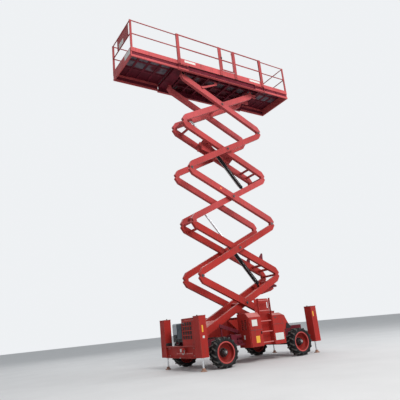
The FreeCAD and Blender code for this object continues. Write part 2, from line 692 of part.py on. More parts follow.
# Cross members: name, middle, half width
CROSS_MEMBERS = [
    ("CrossPin", "BasePinX", 60),
    ("CrossAxle", "AxleLeftX + 260", 50),
    ("CrossMid", "150", 50),
    ("CrossSteer", "AxleRightX - 470", 50),
    ("CrossEnd", "AxleRightX + 500", 50),
]
for word, x, half in CROSS_MEMBERS:
    members.append(block(word, f"{x} - {half}", f"{x} + {half}", "-RailInner", "RailInner",
                         "RailLow + 40", "RailTop"))
frame = joined("chassis_frame", members)
keep(frame)

lugs = []
for word, sign in (("Near", -1), ("Far", 1)):
    lug = new_body("BaseLug" + word)
    pad(lug, "Eye" + word, "XZ", "-TongueWidth / 2", "TongueWidth / 2", ("circle", "0", "0", "LobeRadius"))
    pad(lug, "Neck" + word, "XZ", "-TongueWidth / 2", "TongueWidth / 2",
        rectangle("-52", "52", "RailTop + SeatGap - BasePinZ", "0"))
    pocket(lug, "EyeBore" + word, "XZ", "-TongueWidth / 2", "TongueWidth / 2",
           ("circle", "0", "0", "KnucklePin + RunFit"))
    place(lug, "BasePinX", f"{sign} * (InnerFace - ArmWidth / 2)", "BasePinZ")
    lugs.append(lug)


def track(name, x_low, x_high, face, depth, z, opening):
    """C-channel for a roller: face is its open side, and opening says which way that looks."""
    body = new_body(name)
    web = f"{face} + {-opening} * {depth}"
    low, high = (web, face) if opening > 0 else (face, web)
    inner_low, inner_high = (f"{web} + 8", face) if opening > 0 else (face, f"{web} - 8")
    pad(body, name + "Case", "YZ", x_low, x_high, rectangle(low, high, "-TrackHalf - 8", "TrackHalf + 8"))
    pocket(body, name + "Run", "YZ", x_low, x_high, rectangle(inner_low, inner_high, "-TrackHalf", "TrackHalf"))
    place(body, "0", "0", z)
    return body


base_near = track("BaseTrackNear", "AxleRightX - 100", "JackRightX - JackWide / 2", "-OuterFace - 8", "58",
                  "BasePinZ", 1)
base_far = track("BaseTrackFar", "AxleRightX - 100", "JackRightX - JackWide / 2", "OuterFace + 8", "58",
                 "BasePinZ", -1)
seat_near = block("TrackSeatNear", "AxleRightX - 100", "JackRightX - JackWide / 2", "-RailOuter + 4",
                  "-OuterFace - 8", "RailTop + SeatGap",
                  "BasePinZ - TrackHalf - 8")
seat_far = block("TrackSeatFar", "AxleRightX - 100", "JackRightX - JackWide / 2", "OuterFace + 8",
                 "RailOuter - 4", "RailTop + SeatGap",
                  "BasePinZ - TrackHalf - 8")
keep(together("base_mounts", lugs + [joined("BaseRunNear", [base_near, seat_near]),
                                    joined("BaseRunFar", [base_far, seat_far])]))

# End beams: channel beams between the jack columns
beams = []
for word, x, sign in (("Left", "JackLeftX", -1), ("Right", "JackRightX", 1)):
    beam = new_body("Beam" + word)
    reach = "JackY - JackDeep / 2"
    pad(beam, word + "Case", "XZ", f"-({reach})", reach,
        rectangle("-JackWide / 2", "JackWide / 2", "BeamLow", "BeamTop"))
    outer = f"{sign} * JackWide / 2"
    pocket(beam, word + "Channel", "XZ", f"-({reach}) + 12", f"{reach} - 12",
           [(outer, "BeamLow + 14"), (f"{sign} * (JackWide / 2 - 60)", "BeamLow + 14"),
            (f"{sign} * (JackWide / 2 - 60)", "BeamTop - 14"), (outer, "BeamTop - 14")])
    place(beam, x, "0", "0")
    beams.append(beam)
tow = new_body("TowLug")
pad(tow, "TowPlate", "XZ", "-15", "15",
    [("62", "-70"), ("-52", "-70"), ("-92", "-30"), ("-92", "30"), ("-52", "70"), ("62", "70")])
pocket(tow, "TowHole", "XZ", "-15", "15", ("circle", "-42", "0", "24"))
place(tow, "JackLeftX - JackWide / 2 + 10", "-250", "BeamTop - 115")
keep(together("end_beams", [joined("BeamLeftTow", [beams[0], tow]), beams[1]]))

# Engine housing with a grille in its left face, open on the far side
HOUSE_LEFT = "JackLeftX - JackWide / 2 + 36"
HOUSE_RIGHT = "BasePinX - LobeRadius - 206"
HOUSE_NEAR = "-(JackY - JackDeep / 2)"
HOUSE_FAR = "-140"
house = new_body("engine_housing")
pad(house, "HouseCase", "XY", "RailTop + SeatGap", "JackTop - 20",
    rectangle(HOUSE_LEFT, HOUSE_RIGHT, HOUSE_NEAR, HOUSE_FAR))
pocket(house, "HouseInside", "XY", "RailTop + SeatGap", "JackTop - 20 - WallSteel",
       rectangle(f"{HOUSE_LEFT} + WallSteel", f"{HOUSE_RIGHT} - WallSteel", f"{HOUSE_NEAR} + WallSteel",
                 HOUSE_FAR))
pad(house, "HouseSkirt", "XY", "BeamTop + SeatGap", "RailTop + 2",
    rectangle(HOUSE_LEFT, f"{HOUSE_LEFT} + WallSteel", HOUSE_NEAR, HOUSE_FAR))
pad(house, "HouseSill", "XY", "BeamTop + SeatGap", "RailTop + 2",
    rectangle(HOUSE_LEFT, HOUSE_RIGHT, HOUSE_NEAR, f"{HOUSE_NEAR} + WallSteel"))
GRILLE_ROWS = 4
GRILLE_PITCH_Y = 132
GRILLE_PITCH_Z = 122
cells = []
for row in range(GRILLE_ROWS):
    for column in range(GRILLE_ROWS):
        low_y = f"-684 + {column * GRILLE_PITCH_Y}"
        low_z = f"BeamTop + 182 + {row * GRILLE_PITCH_Z}"
        cells.append(rectangle(low_y, f"{low_y} + 104", low_z, f"{low_z} + 96"))
pocket(house, "Grille", "YZ", HOUSE_LEFT, f"{HOUSE_LEFT} + WallSteel", *cells)
keep(house)

keep(joined("engine_block", [
    block("EngineCore", f"{HOUSE_LEFT} + 60", f"{HOUSE_RIGHT} - 50", "-700", "520", "RailTop + SeatGap",
          "RailTop + 270"),
    block("EngineHead", f"{HOUSE_LEFT} + 120", f"{HOUSE_RIGHT} - 110", "-620", "60", "RailTop + 270",
          "RailTop + 450"),
]))
keep(joined("air_filter", [
    bar("FilterCan", "z", "120", "RailTop + 270 + SeatGap", "RailTop + 500", f"{HOUSE_LEFT} + 190", "300"),
    bar("FilterLid", "z", "128", "RailTop + 500", "RailTop + 530", f"{HOUSE_LEFT} + 190", "300"),
    block("CoolerBox", HOUSE_LEFT, f"{HOUSE_LEFT} + 60 - SeatGap", "-110", "150", "BeamTop + 200",
          "BeamTop + 620"),
    block("CoolerLink", f"{HOUSE_LEFT} + 40 ", f"{HOUSE_LEFT} + 80", "100", "300", "RailTop + 400",
          "RailTop + 450"),
]))

# Side boxes, near and far. The near left box opens with a door.
SLOT_ROWS = 5


def box_outline(x_low, x_high):
    """End view of a side box, with its upper outer edge bevelled."""
    return [("-BoxOuter", "BoxLow"), ("-BoxInner", "BoxLow"), ("-BoxInner", "BoxTop"),
            ("-BoxOuter + 130", "BoxTop"), ("-BoxOuter", "BoxShoulder")]


DOOR_INSET = 40
cabinet = new_body("cabinet_near")
pad(cabinet, "CabinetCase", "YZ", "LeftBoxStart", "LeftBoxEnd", box_outline("LeftBoxStart", "LeftBoxEnd"))
pocket(cabinet, "CabinetInside", "XZ", "-BoxOuter", "-BoxInner - WallSteel",
       rectangle(f"LeftBoxStart + {DOOR_INSET}", f"LeftBoxEnd - {DOOR_INSET}", f"BoxLow + {DOOR_INSET}",
                 f"BoxShoulder - {DOOR_INSET}"))
pad(cabinet, "CabinetWing", "XZ", "-BoxInner - WallSteel", "-BoxInner",
    [("LeftBoxStart + 4", "BoxShoulder - 20"), ("LeftBoxStart - 320", "BoxShoulder - 20"),
     ("LeftBoxStart - 320", "BoxShoulder - 50"), ("LeftBoxStart + 4", "BoxShoulder - 350")])
slots = []
for row in range(SLOT_ROWS):
    for column in range(2):
        low_y = f"-BoxOuter + 110 + {column * 150}"
        low_z = f"BoxShoulder - 90 - {row * 62}"
        slots.append(rectangle(low_y, f"{low_y} + 90", f"{low_z}", f"{low_z} + 30"))
pocket(cabinet, "CabinetSlots", "YZ", "LeftBoxStart", f"LeftBoxStart + {DOOR_INSET}", *slots)
HINGES = (("Low", "BoxLow + 120"), ("High", "BoxShoulder - 180"))
hinge_at = ("circle", "LeftBoxStart + 12", "-BoxOuter - 16")
for word, height in HINGES:
    pad(cabinet, "DoorPintle" + word, "XY", height, f"{height} + 60", (*hinge_at, "6"))
    pad(cabinet, "DoorRest" + word, "XY", height, f"{height} + 20", (*hinge_at, "10"))
    pad(cabinet, "DoorArm" + word, "XY", height, f"{height} + 20",
        rectangle("LeftBoxStart + 6", "LeftBoxStart + 18", "-BoxOuter - 16", "-BoxOuter + 1"))
keep(cabinet)

door = new_body("cabinet_door")
pad(door, "DoorPanel", "XZ", "-BoxOuter - 26", "-BoxOuter - 6",
    rectangle("LeftBoxStart + 28", "LeftBoxEnd - 12", "BoxLow + 12", "BoxShoulder - 12"))
pocket(door, "DoorHollow", "XZ", "-BoxOuter - 20", "-BoxOuter - 6",
       rectangle("LeftBoxStart + 34", "LeftBoxEnd - 18", "BoxLow + 18", "BoxShoulder - 18"))
for word, height in HINGES:
    pad(door, "DoorEye" + word, "XY", f"{height} + 20.5", f"{height} + 60", (*hinge_at, "10"))
    pad(door, "DoorLeaf" + word, "XY", f"{height} + 20.5", f"{height} + 60",
        rectangle("LeftBoxStart + 12", "LeftBoxStart + 30", "-BoxOuter - 26", "-BoxOuter - 20"))
    pocket(door, "DoorBore" + word, "XY", f"{height} + 20.5", f"{height} + 60", (*hinge_at, "6 + RunFit"))
keep(door)

tank = new_body("tank_near")
tank_profile = [
    ("RightBoxStart", "BoxLow"), ("RightBoxEnd", "BoxLow"), ("RightBoxEnd", "AxleZ + LugTop + 25"),
    ("RightBoxEnd + 260", "AxleZ + LugTop + 25"), ("RightBoxEnd + 60", "BoxShoulder - 20"),
    ("RightBoxEnd", "BoxShoulder"), ("RightBoxStart", "BoxShoulder"),
]
pad(tank, "TankCase", "XZ", "-BoxOuter", "-BoxInner", tank_profile)
pad(tank, "TankHood", "YZ", "RightBoxStart", "RightBoxEnd",
    [("-BoxOuter", "BoxShoulder"), ("-BoxInner", "BoxShoulder"), ("-BoxInner", "BoxTop - 60"),
     ("-BoxOuter + 150", "BoxTop - 60")])
keep(tank)

far_tank = mirrored(tank, "FarTank")
far_box = new_body("FarBox")
pad(far_box, "FarBoxCase", "YZ", "LeftBoxStart - 484", "LeftBoxEnd",
    [("BoxOuter", "BoxLow"), ("BoxInner", "BoxLow"), ("BoxInner", "BoxTop"), ("BoxOuter - 130", "BoxTop"),
     ("BoxOuter", "BoxShoulder")])
keep(together("far_boxes", [far_box, far_tank]))

# Open hydraulic unit between the near left wheel and its box: tank, valve block, motor and coils
UNIT_LEFT = "LeftBoxStart - 484"
TRAY_TOP = "BoxLow + 100"
unit_parts = [
    block("UnitTray", UNIT_LEFT, "LeftBoxStart - 20", "-880", "-RailOuter - SeatGap", "BoxLow + 90", TRAY_TOP),
    block("UnitLip", UNIT_LEFT, "LeftBoxStart - 20", "-880", "-872", TRAY_TOP, "BoxLow + 140"),
    block("UnitBack", UNIT_LEFT, "LeftBoxStart - 20", "-RailOuter - 10", "-RailOuter - SeatGap", TRAY_TOP,
          "RailTop - 20"),
    block("UnitTank", f"{UNIT_LEFT} + 20", f"{UNIT_LEFT} + 210", "-850", "-640", TRAY_TOP, "BoxLow + 400"),
    block("UnitValve", "LeftBoxStart - 230", "LeftBoxStart - 60", "-810", "-670", TRAY_TOP, "BoxLow + 230"),
    bar("UnitMotor", "x", "62", f"{UNIT_LEFT} + 205", "LeftBoxStart - 60", "-740", "BoxLow + 330"),
    bar("UnitCap", "z", "34", "BoxLow + 395", "BoxLow + 425", f"{UNIT_LEFT} + 80", "-745"),
]
for coil in range(4):
    unit_parts.append(bar(f"UnitCoil{coil}", "y", "17", "-858", "-805", f"LeftBoxStart - 205 + {coil * 40}",
                          "BoxLow + 170"))
unit_parts.append(block("UnitRiser", "LeftBoxStart - 170", "LeftBoxStart - 120", "-765", "-715",
                        "BoxLow + 225", "BoxLow + 280"))
keep(joined("hydraulic_unit", unit_parts))

prop = block("PropBar", "0", "680", "0", "46", "0", "90")
place(prop, "LeftBoxStart - 704", "-RailOuter - 52", "BoxTop - 315", "-19")
keep(joined("maintenance_prop", [
    prop,
    block("PropFootLeft", "LeftBoxStart - 640", "LeftBoxStart - 600", "-RailOuter - 12", "-RailOuter + 20",
          "RailTop + SeatGap", "BoxTop - 290"),
    block("PropFootRight", "LeftBoxStart - 130", "LeftBoxStart - 90", "-RailOuter - 12", "-RailOuter + 20",
          "RailTop + SeatGap", "BoxTop - 480"),
]))

# Ladder between the near boxes, with its back panel
RUNG_PITCH = 300
ladder_parts = []
for word, x_low, x_high in (("Left", "LeftBoxEnd", "LeftBoxEnd + 12"),
                            ("Right", "RightBoxStart - 12", "RightBoxStart")):
    ladder_parts.append(block("Stile" + word, x_low, x_high, "-BoxOuter + 10", "-BoxOuter + 80",
                              "BoxLow + 40", "BoxTop + 400"))
for rung in range(5):
    ladder_parts.append(bar(f"Rung{rung}", "x", "14", "LeftBoxEnd", "RightBoxStart", "-BoxOuter + 45",
                            f"BoxLow + 95 + {rung * RUNG_PITCH}"))
keep(joined("ladder", ladder_parts))

back = new_body("ladder_panel")
pad(back, "BackPlate", "XZ", "-920", "-912",
    [("LeftBoxEnd", "BoxLow + 20"), ("RightBoxStart", "BoxLow + 20"), ("RightBoxStart", "BoxTop - 50"),
     ("RightBoxStart + 96", "BoxTop - 50"), ("RightBoxStart + 96", "BoxTop + 360"),
     ("RightBoxStart + 60", "BoxTop + 400"), ("LeftBoxEnd", "BoxTop + 400")])
pocket(back, "BackHandle", "XZ", "-920", "-912",
       rectangle("RightBoxStart + 21", "RightBoxStart + 55", "BoxTop + 110", "BoxTop + 290"))
keep(back)

# Platform. Heights are above the top pins.


def above(offset):
    return f"TopZ + ({offset})"


frame_parts = []
for word, sign in (("Near", -1), ("Far", 1)):
    def across(low, high, sign=sign):
        return (f"-({high})", f"-({low})") if sign < 0 else (low, high)
    frame_parts += [
        block("Flange" + word, "MainStart", "MainEnd", *across("WebFace - 10", "PlatformHalf"),
              above("-SideLow"), above("-SideLow + 12")),
        block("Web" + word, "MainStart", "MainEnd", *across("WebFace - 10", "WebFace"),
              above("-SideLow + 12"), above("FloorTop - 25")),
        block("Toe" + word, "MainStart", "MainEnd", *across("PlatformHalf - 36", "PlatformHalf - 28"),
              above("FloorTop - 50"), above("FloorTop + 170")),
    ]
    for place_word, x_low, x_high in (("Left", "MainStart", "MainStart + 12"),
                                      ("Right", "MainEnd - 12", "MainEnd")):
        frame_parts.append(block("EndPlate" + place_word + word, x_low, x_high,
                                 *across("PlatformHalf - 36", "PlatformHalf"),
                                 above("-SideLow + 12"), above("FloorTop - 50 - SeatGap")))
        frame_parts.append(block("EndRise" + place_word + word, x_low, x_high,
                                 *across("PlatformHalf - 36", "PlatformHalf - 28 - SeatGap"),
                                 above("-SideLow + 12"), above("FloorTop")))
    for index, x in enumerate(("MainStart + 20", "MainStart + 300", "MainEnd - 400", "MainEnd - 120")):
        frame_parts.append(block(f"Pad{index}{word}", x, f"{x} + 100", *across("WebFace", "DeckHalf"),
                                 above("-SideLow + 12"), above("-SideLow + 12 + PadHigh")))
frame_parts.append(block("HangerRib", "BasePinX - 70", "BasePinX + 70", "-WebFace + 10", "WebFace - 10",
                         above("FloorTop - 125"), above("FloorTop - 25")))
frame_parts.append(block("EndPan", "MainStart", "BasePinX - 70", "-WebFace + 10", "WebFace - 10",
                         above("FloorTop - 131"), above("FloorTop - 124")))
RIB_COUNT = 9
for rib in range(RIB_COUNT):
    share = rib / (RIB_COUNT - 1)
    x_low = f"MainStart + {share} * (MainEnd - MainStart - 60)"
    frame_parts.append(block(f"Rib{rib}", x_low, f"{x_low} + 60", "-WebFace + 10", "WebFace - 10",
                             above("FloorTop - 125"), above("FloorTop - 25")))
for word, low, high in (("Near", "-400", "-360"), ("Mid", "-20", "20"), ("Far", "360", "400")):
    frame_parts.append(block("Stringer" + word, "MainStart", "MainEnd", low, high,
                             above("FloorTop - 105"), above("FloorTop - 25")))
keep(joined("platform_frame", frame_parts))

keep(block("platform_floor", "MainStart", "MainEnd", "-WebFace", "WebFace",
           above("FloorTop - 25 + SeatGap"), above("FloorTop")))

# Top lugs for the outer arms and channels for the inner rollers
hangers = []
for word, sign in (("Near", -1), ("Far", 1)):
    hanger = new_body("Hanger" + word)
    middle = "OuterFace - ArmWidth / 2"
    for cheek, low, high in (("In", "-ArmWidth / 2", "-(ForkHalf)"), ("Out", "ForkHalf", "ArmWidth / 2")):
        pad(hanger, "HangEye" + cheek + word, "XZ", low, high, ("circle", "0", "0", "LobeRadius"))
        pad(hanger, "HangPlate" + cheek + word, "XZ", low, high,
            rectangle("-60", "60", "0", "FloorTop - 125 - SeatGap"))
    pad(hanger, "HangPin" + word, "XZ", "-ArmWidth / 2", "ArmWidth / 2", ("circle", "0", "0", "KnucklePin"))
    pad(hanger, "HangTop" + word, "XZ", "-ArmWidth / 2", "ArmWidth / 2",
        rectangle("-60", "60", "FloorTop - 133", "FloorTop - 125 - SeatGap"))
    place(hanger, "BasePinX", f"{sign} * ({middle})", "TopZ")
    hangers.append(hanger)
TOP_TRACK_LEFT = "BasePinX + Span - 100"
TOP_TRACK_RIGHT = "MainEnd"
top_face = "InnerFace - ArmWidth - 8"
top_near = track("TopTrackNear", TOP_TRACK_LEFT, TOP_TRACK_RIGHT, f"-({top_face})", "58", "TopZ", -1)
top_far = track("TopTrackFar", TOP_TRACK_LEFT, TOP_TRACK_RIGHT, top_face, "58", "TopZ", 1)
seats = []
for word, low, high in (("Near", f"-({top_face})", f"-({top_face}) + 58"),
                        ("Far", f"{top_face} - 58", top_face)):
    seats.append(block("TopSeat" + word, TOP_TRACK_LEFT, TOP_TRACK_RIGHT, low, high,
                       above("TrackHalf + 8"), above("FloorTop - 125 - SeatGap")))
keep(together("platform_mounts", hangers + [joined("TopRunNear", [top_near, seats[0]]),
                                            joined("TopRunFar", [top_far, seats[1]])]))

# Guard rails of the fixed platform, broken on the near side by the gate
rail_y = "PlatformHalf - 18"
POSTS = ["MainStart", "GateStart - PostWide", "GateEnd", "MainEnd - PostWide"]
rails = []
for word, sign in (("Near", -1), ("Far", 1)):
    low, high = ("-PlatformHalf", "-PlatformHalf + 28") if sign < 0 else ("PlatformHalf - 28", "PlatformHalf")
    for index, x in enumerate(POSTS):
        rails.append(block(f"Post{word}{index}", x, f"{x} + PostWide", low, high, above("FloorTop - 50"),
                           above("RailHigh")))
for height_word, height in (("High", "RailHigh - RailTube"), ("Mid", "RailMid")):
    rails.append(bar("FarRail" + height_word, "x", "RailTube", "MainStart + 10", "MainEnd - 10", rail_y,
                     above(height)))
    rails.append(bar("LeftRail" + height_word, "x", "RailTube", "MainStart + 10", "GateStart - 10",
                     f"-({rail_y})", above(height)))
    rails.append(bar("RightRail" + height_word, "x", "RailTube", "GateEnd + 10", "MainEnd - 10",
                     f"-({rail_y})", above(height)))
for word, height in (("Low", "FloorTop + 260"), ("High", "RailHigh - 140")):
    eye = new_body("GateHinge" + word)
    pad(eye, "HingeEye" + word, "XY", "0", "20", ("circle", "0", "0", "GateTube + 12"))
    pad(eye, "HingeLeaf" + word, "XY", "0", "20", rectangle("0", "GateInset + 1", "-10", "10"))
    pocket(eye, "HingeBore" + word, "XY", "0", "20", ("circle", "0", "0", "GateTube + RunFit"))
    place(eye, "GateEnd - GateInset", f"-({rail_y})", above(height))
    rails.append(eye)
near_rails = [part for part in rails if "Near" in part.Name
              or part.Name.startswith(("LeftRail", "RightRail", "GateHinge"))]
far_rails = [part for part in rails if part not in near_rails]
left_near = [part for part in near_rails if part.Name in ("PostNear0", "PostNear1")
             or part.Name.startswith("LeftRail")]
right_near = [part for part in near_rails if part not in left_near]
keep(together("platform_rails", [joined("RailsNearLeft", left_near), joined("RailsNearRight", right_near),
                                 joined("RailsFar", far_rails)]))

keep(joined("gate", [
    bar("GateHigh", "x", "RailTube", "GateStart + 7", "GateEnd - GateInset", f"-({rail_y})",
        above("RailHigh - RailTube")),
    bar("GateMid", "x", "RailTube", "GateStart + 7", "GateEnd - GateInset", f"-({rail_y})", above("RailMid")),
    bar("GateLow", "x", "RailTube", "GateStart + 7", "GateEnd - GateInset", f"-({rail_y})", above("FloorTop + 200")),
    bar("GateLeft", "z", "GateTube", above("FloorTop + 200"), above("RailHigh - RailTube"), "GateStart + 24",
        f"-({rail_y})"),
    bar("GateRight", "z", "GateTube", above("FloorTop + 200"), above("RailHigh - RailTube"), "GateEnd - GateInset",
        f"-({rail_y})"),
]))


def sliding_deck(name, outer, inner, sign):
    """One sliding deck: side beams, ribs and floor. Sign is the end it opens towards."""
    low, high = (outer, inner) if sign < 0 else (inner, outer)
    parts = []
    for word, y_low, y_high in (("Near", "-DeckHalf", "-DeckHalf + 38"), ("Far", "DeckHalf - 38", "DeckHalf")):
        parts.append(block(name + "Low" + word, low, high, y_low, y_high, above("-SideLow + 17"),
                           above("-SideLow + 87")))
        parts.append(block(name + "Toe" + word, low, high, y_low, y_high, above("FloorTop - 70"),
                           above("FloorTop + 80")))
    for word, y_low, y_high in (("Near", "-DeckHalf + 20", "-DeckHalf + 38"),
                                ("Far", "DeckHalf - 38", "DeckHalf - 20")):
        for strut in range(4):
            x_low = f"{low} + {strut / 3} * ({high} - ({low}) - 40)"
            parts.append(block(f"{name}Strut{word}{strut}", x_low, f"{x_low} + 40", y_low, y_high,
                               above("-SideLow + 80"), above("FloorTop - 60")))
    parts.append(block(name + "Floor", low, high, "-DeckHalf + 37", "DeckHalf - 37", above("FloorTop + 25"),
                       above("FloorTop + 31")))
    for rib in range(6):
        x_low = f"{low} + {rib / 5} * ({high} - ({low}) - 80)"
        parts.append(block(f"{name}Rib{rib}", x_low, f"{x_low} + 80", "-DeckHalf + 37", "DeckHalf - 37",
                           above("FloorTop + 5"), above("FloorTop + 26")))
    for word, y_low, y_high in (("Near", "-270", "-200"), ("Far", "200", "270")):
        parts.append(block(name + "Stringer" + word, low, high, y_low, y_high, above("FloorTop + 7"),
                           above("FloorTop + 26")))
    end_low, end_high = (outer, f"{outer} + 40") if sign < 0 else (f"{outer} - 40", outer)
    parts.append(block(name + "End", end_low, end_high, "-DeckHalf + 37", "DeckHalf - 37",
                       above("-SideLow + 17"), above("FloorTop + 80")))
    return keep(joined(name, parts))


def deck_rails(name, outer, inner, sign):
    """Guard rails of a sliding deck, which nest inside the fixed ones."""
    y = "DeckHalf - 22"
    low, high = (outer, inner) if sign < 0 else (inner, outer)
    parts = []
    for word, side in (("Near", -1), ("Far", 1)):
        y_low, y_high = ("-DeckHalf + 4", "-DeckHalf + 36") if side < 0 else ("DeckHalf - 36", "DeckHalf - 4")
        for post, x in (("Low", low), ("High", f"{high} - DeckPost")):
            parts.append(block(name + "Post" + post + word, x, f"{x} + DeckPost", y_low, y_high,
                               above("FloorTop + 80"), above("RailHigh")))
        for height_word, height in (("High", "RailHigh - DeckTube"), ("Mid", "RailMid")):
            parts.append(bar(name + height_word + word, "x", "DeckTube", f"{low} + 10", f"{high} - 10",
                             f"{side} * ({y})", above(height)))
    x_end = f"{outer} + {-sign} * 25"
    for height_word, height in (("High", "RailHigh - DeckTube"), ("Mid", "RailMid")):
        parts.append(bar(name + "End" + height_word, "y", "DeckTube", f"-({y})", y, x_end, above(height)))
    if sign < 0:
        parts.append(block(name + "Sheet", f"{x_end} - 2", f"{x_end} + 2", "-600", "350", above("RailMid"),
                           above("RailHigh - DeckTube")))
    return keep(joined(name, parts))


sliding_deck("left_deck", "-DeckReach", "MainStart + LeftOverlap", -1)
deck_rails("left_deck_rails", "-DeckReach", "MainStart + 90", -1)
sliding_deck("right_deck", "DeckReach", "MainEnd - RightOverlap", 1)
deck_rails("right_deck_rails", "DeckReach", "MainEnd - 90", 1)

control = new_body("control_box")
pad(control, "ControlCase", "XZ", "PlatformHalf - 200", "PlatformHalf - 60",
    [("-150", "-260"), ("150", "-260"), ("150", "-60"), ("110", "15"), ("-110", "15"), ("-150", "-60")])
pad(control, "ControlHook", "XZ", "PlatformHalf - 60", "PlatformHalf - 18 - RailTube - SeatGap",
    rectangle("-60", "60", "-16", "14"))
place(control, "GateEnd - 180", "0", above("RailHigh - RailTube"))
keep(control)

doc.recompute()

for thing in doc.Objects:
    if "Invalid" in thing.State or "Error" in thing.State:
        raise RuntimeError(f"{thing.Name} failed: {thing.State}")
for thing in NODES:
    shape = thing.Shape
    if shape.isNull() or not shape.isValid():
        raise RuntimeError(f"{thing.Label} has no valid shape")

os.makedirs("parts", exist_ok=True)
for thing in NODES:
    thing.Shape.exportStep(f"parts/{thing.Label}.step")
print(len(NODES), "nodes")
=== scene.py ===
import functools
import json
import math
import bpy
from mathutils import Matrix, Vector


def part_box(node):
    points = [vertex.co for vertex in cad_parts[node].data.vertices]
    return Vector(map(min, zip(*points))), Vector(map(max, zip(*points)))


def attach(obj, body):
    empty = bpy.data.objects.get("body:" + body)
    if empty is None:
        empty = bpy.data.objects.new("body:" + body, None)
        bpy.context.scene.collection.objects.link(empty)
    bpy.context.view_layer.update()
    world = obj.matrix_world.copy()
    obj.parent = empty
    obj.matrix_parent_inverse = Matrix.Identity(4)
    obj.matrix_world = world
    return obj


bl_info = {
    "name": "Scissor Lift Looks",
    "version": (1, 0, 0),
    "blender": (4, 5, 0),
    "location": "View3D > Sidebar > Scissor Lift",
    "description": "Dresses the scissor lift's frame with its finishes, fittings, stage and camera",
    "category": "Object",
}

from itertools import product

import bmesh
import bpy
from mathutils import Matrix, Vector

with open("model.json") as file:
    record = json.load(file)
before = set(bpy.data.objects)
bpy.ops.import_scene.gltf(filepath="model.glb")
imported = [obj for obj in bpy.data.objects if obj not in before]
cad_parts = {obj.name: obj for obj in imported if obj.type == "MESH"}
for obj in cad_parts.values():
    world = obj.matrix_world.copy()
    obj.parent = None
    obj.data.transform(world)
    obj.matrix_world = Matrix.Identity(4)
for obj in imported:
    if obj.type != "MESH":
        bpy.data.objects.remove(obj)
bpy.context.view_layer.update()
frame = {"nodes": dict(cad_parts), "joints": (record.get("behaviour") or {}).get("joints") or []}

# Places as the frame has them, in metres. The near side faces -Y.
SIDES = (-1, 1)
STAGES = range(1, 6)
CORNERS = ("near_left", "near_right", "far_left", "far_right")
PINS = {joint["name"]: Vector(joint["pos_m"]) for joint in frame["joints"] if "pos_m" in joint}
WHEELS = {corner: PINS[f"wheel_{corner}_spin"] for corner in CORNERS}
JACKS = {corner: sum(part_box(f"jack_leg_{corner}"), Vector()) / 2 for corner in CORNERS}
BASE_X = PINS["lift"].x
TOP_Z = PINS["platform_pin"].z
ARM_RUN = PINS["inner_knuckle_2"] - PINS["lift"]
OUTER_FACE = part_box("outer_arms_5")[1].y
INNER_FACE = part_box("inner_arms_5")[1].y
BOX_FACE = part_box("far_boxes")[1].y
DOOR_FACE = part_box("cabinet_door")[0].y
POST_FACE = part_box("platform_frame")[1].y
LEFT_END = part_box("left_deck")[0].x
RIGHT_BEAM_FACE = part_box("end_beams")[1].x

# Sizes that the frame doesn't tell, in metres
ARM_DEPTH = 0.200
ARM_WIDTH = 0.115
FOLDED_PITCH = 0.210
LUG_TOPS = (0.390, 0.400)
# WEB_FACE and DECK_INSIDE bound the painted shade below the platform's floor
WEB_FACE = 0.7305
DECK_INSIDE = 3.335
LEFT_BEAM_FACE = -2.026
JACK_FACE = 0.145
JACK_CAP = 1.4415
LEFT_BOX_FACE = -0.316

# Lugs in each of a tyre's two rows
LUGS = 15

# Levels of the platform, from the top pins up
CHANNEL = (TOP_Z + 0.012, TOP_Z + 0.131)
FLOOR_UNDERSIDE = TOP_Z + 0.1792
DECK_SHEET = (TOP_Z + 0.2275, TOP_Z + 0.2345)
DECK_SHEET_EDGE = 0.737

# The arms turn by this much from folded to stored, about pins this far apart
ARM_TILT = math.atan2(ARM_RUN.z, ARM_RUN.x) - math.asin(FOLDED_PITCH / ARM_RUN.length)
REACH = math.sqrt(ARM_RUN.length_squared - FOLDED_PITCH ** 2)
QUARTER = math.pi / 2

# Colours and gloss that are no setting
DIRT = (0.085, 0.050, 0.040)
DUST = (0.46, 0.36, 0.30)
PRIMER = (0.52, 0.27, 0.24)
PAINT_GLOSS = 0.12


class LiftSettings(bpy.types.PropertyGroup):
    """Colours and sizes of the machine's looks."""

    body_red: bpy.props.FloatVectorProperty(
        name="Body red", description="Paint of the chassis and the lower arms", subtype="COLOR",
        size=3, min=0.0, max=1.0, default=(0.345, 0.0235, 0.0185))
    # Painted haze light: the upper arms and the platform take a paler red for the bright haze that veils them
    hazed_red: bpy.props.FloatVectorProperty(
        name="Haze-lit red", description="Paler red of the upper arms and the platform, painted haze light",
        subtype="COLOR", size=3, min=0.0, max=1.0, default=(0.480, 0.082, 0.086))
    # Painted shade: this red is the paint darkened for the shade below the machine and under the platform
    painted_shade_red: bpy.props.FloatVectorProperty(
        name="Deep red", description="Red darkened as painted shade, for the parts that lie in shade", subtype="COLOR",
        size=3, min=0.0, max=1.0, default=(0.135, 0.014, 0.026))
    edge_wear: bpy.props.FloatProperty(
        name="Edge wear", description="How far the paint is worn from the edges", default=0.006,
        min=0.001, max=0.02, unit="LENGTH")
    dust: bpy.props.FloatProperty(
        name="Dust", description="Dust on surfaces that face up", default=0.35, min=0.0, max=1.0,
        subtype="FACTOR")
    camera_lens: bpy.props.FloatProperty(
        name="Lens", description="Focal length of the camera", default=37.7, min=10.0, max=200.0,
        subtype="DISTANCE_CAMERA")
    camera_place: bpy.props.FloatVectorProperty(
        name="Camera place", description="Where the camera stands", subtype="TRANSLATION", size=3,
        default=(-8.2468, -11.1336, 1.1487))
    camera_turn: bpy.props.FloatVectorProperty(
        name="Camera turn", description="Heading, upward tilt and roll of the camera", subtype="EULER",
        size=3, default=(0.5886, 0.2922, -0.1013))
    floor_size: bpy.props.FloatProperty(
        name="Floor size", description="Width of the studio floor", default=120.0, min=10.0,
        unit="LENGTH")


def settings():
    return bpy.context.scene.lift_settings


# Materials

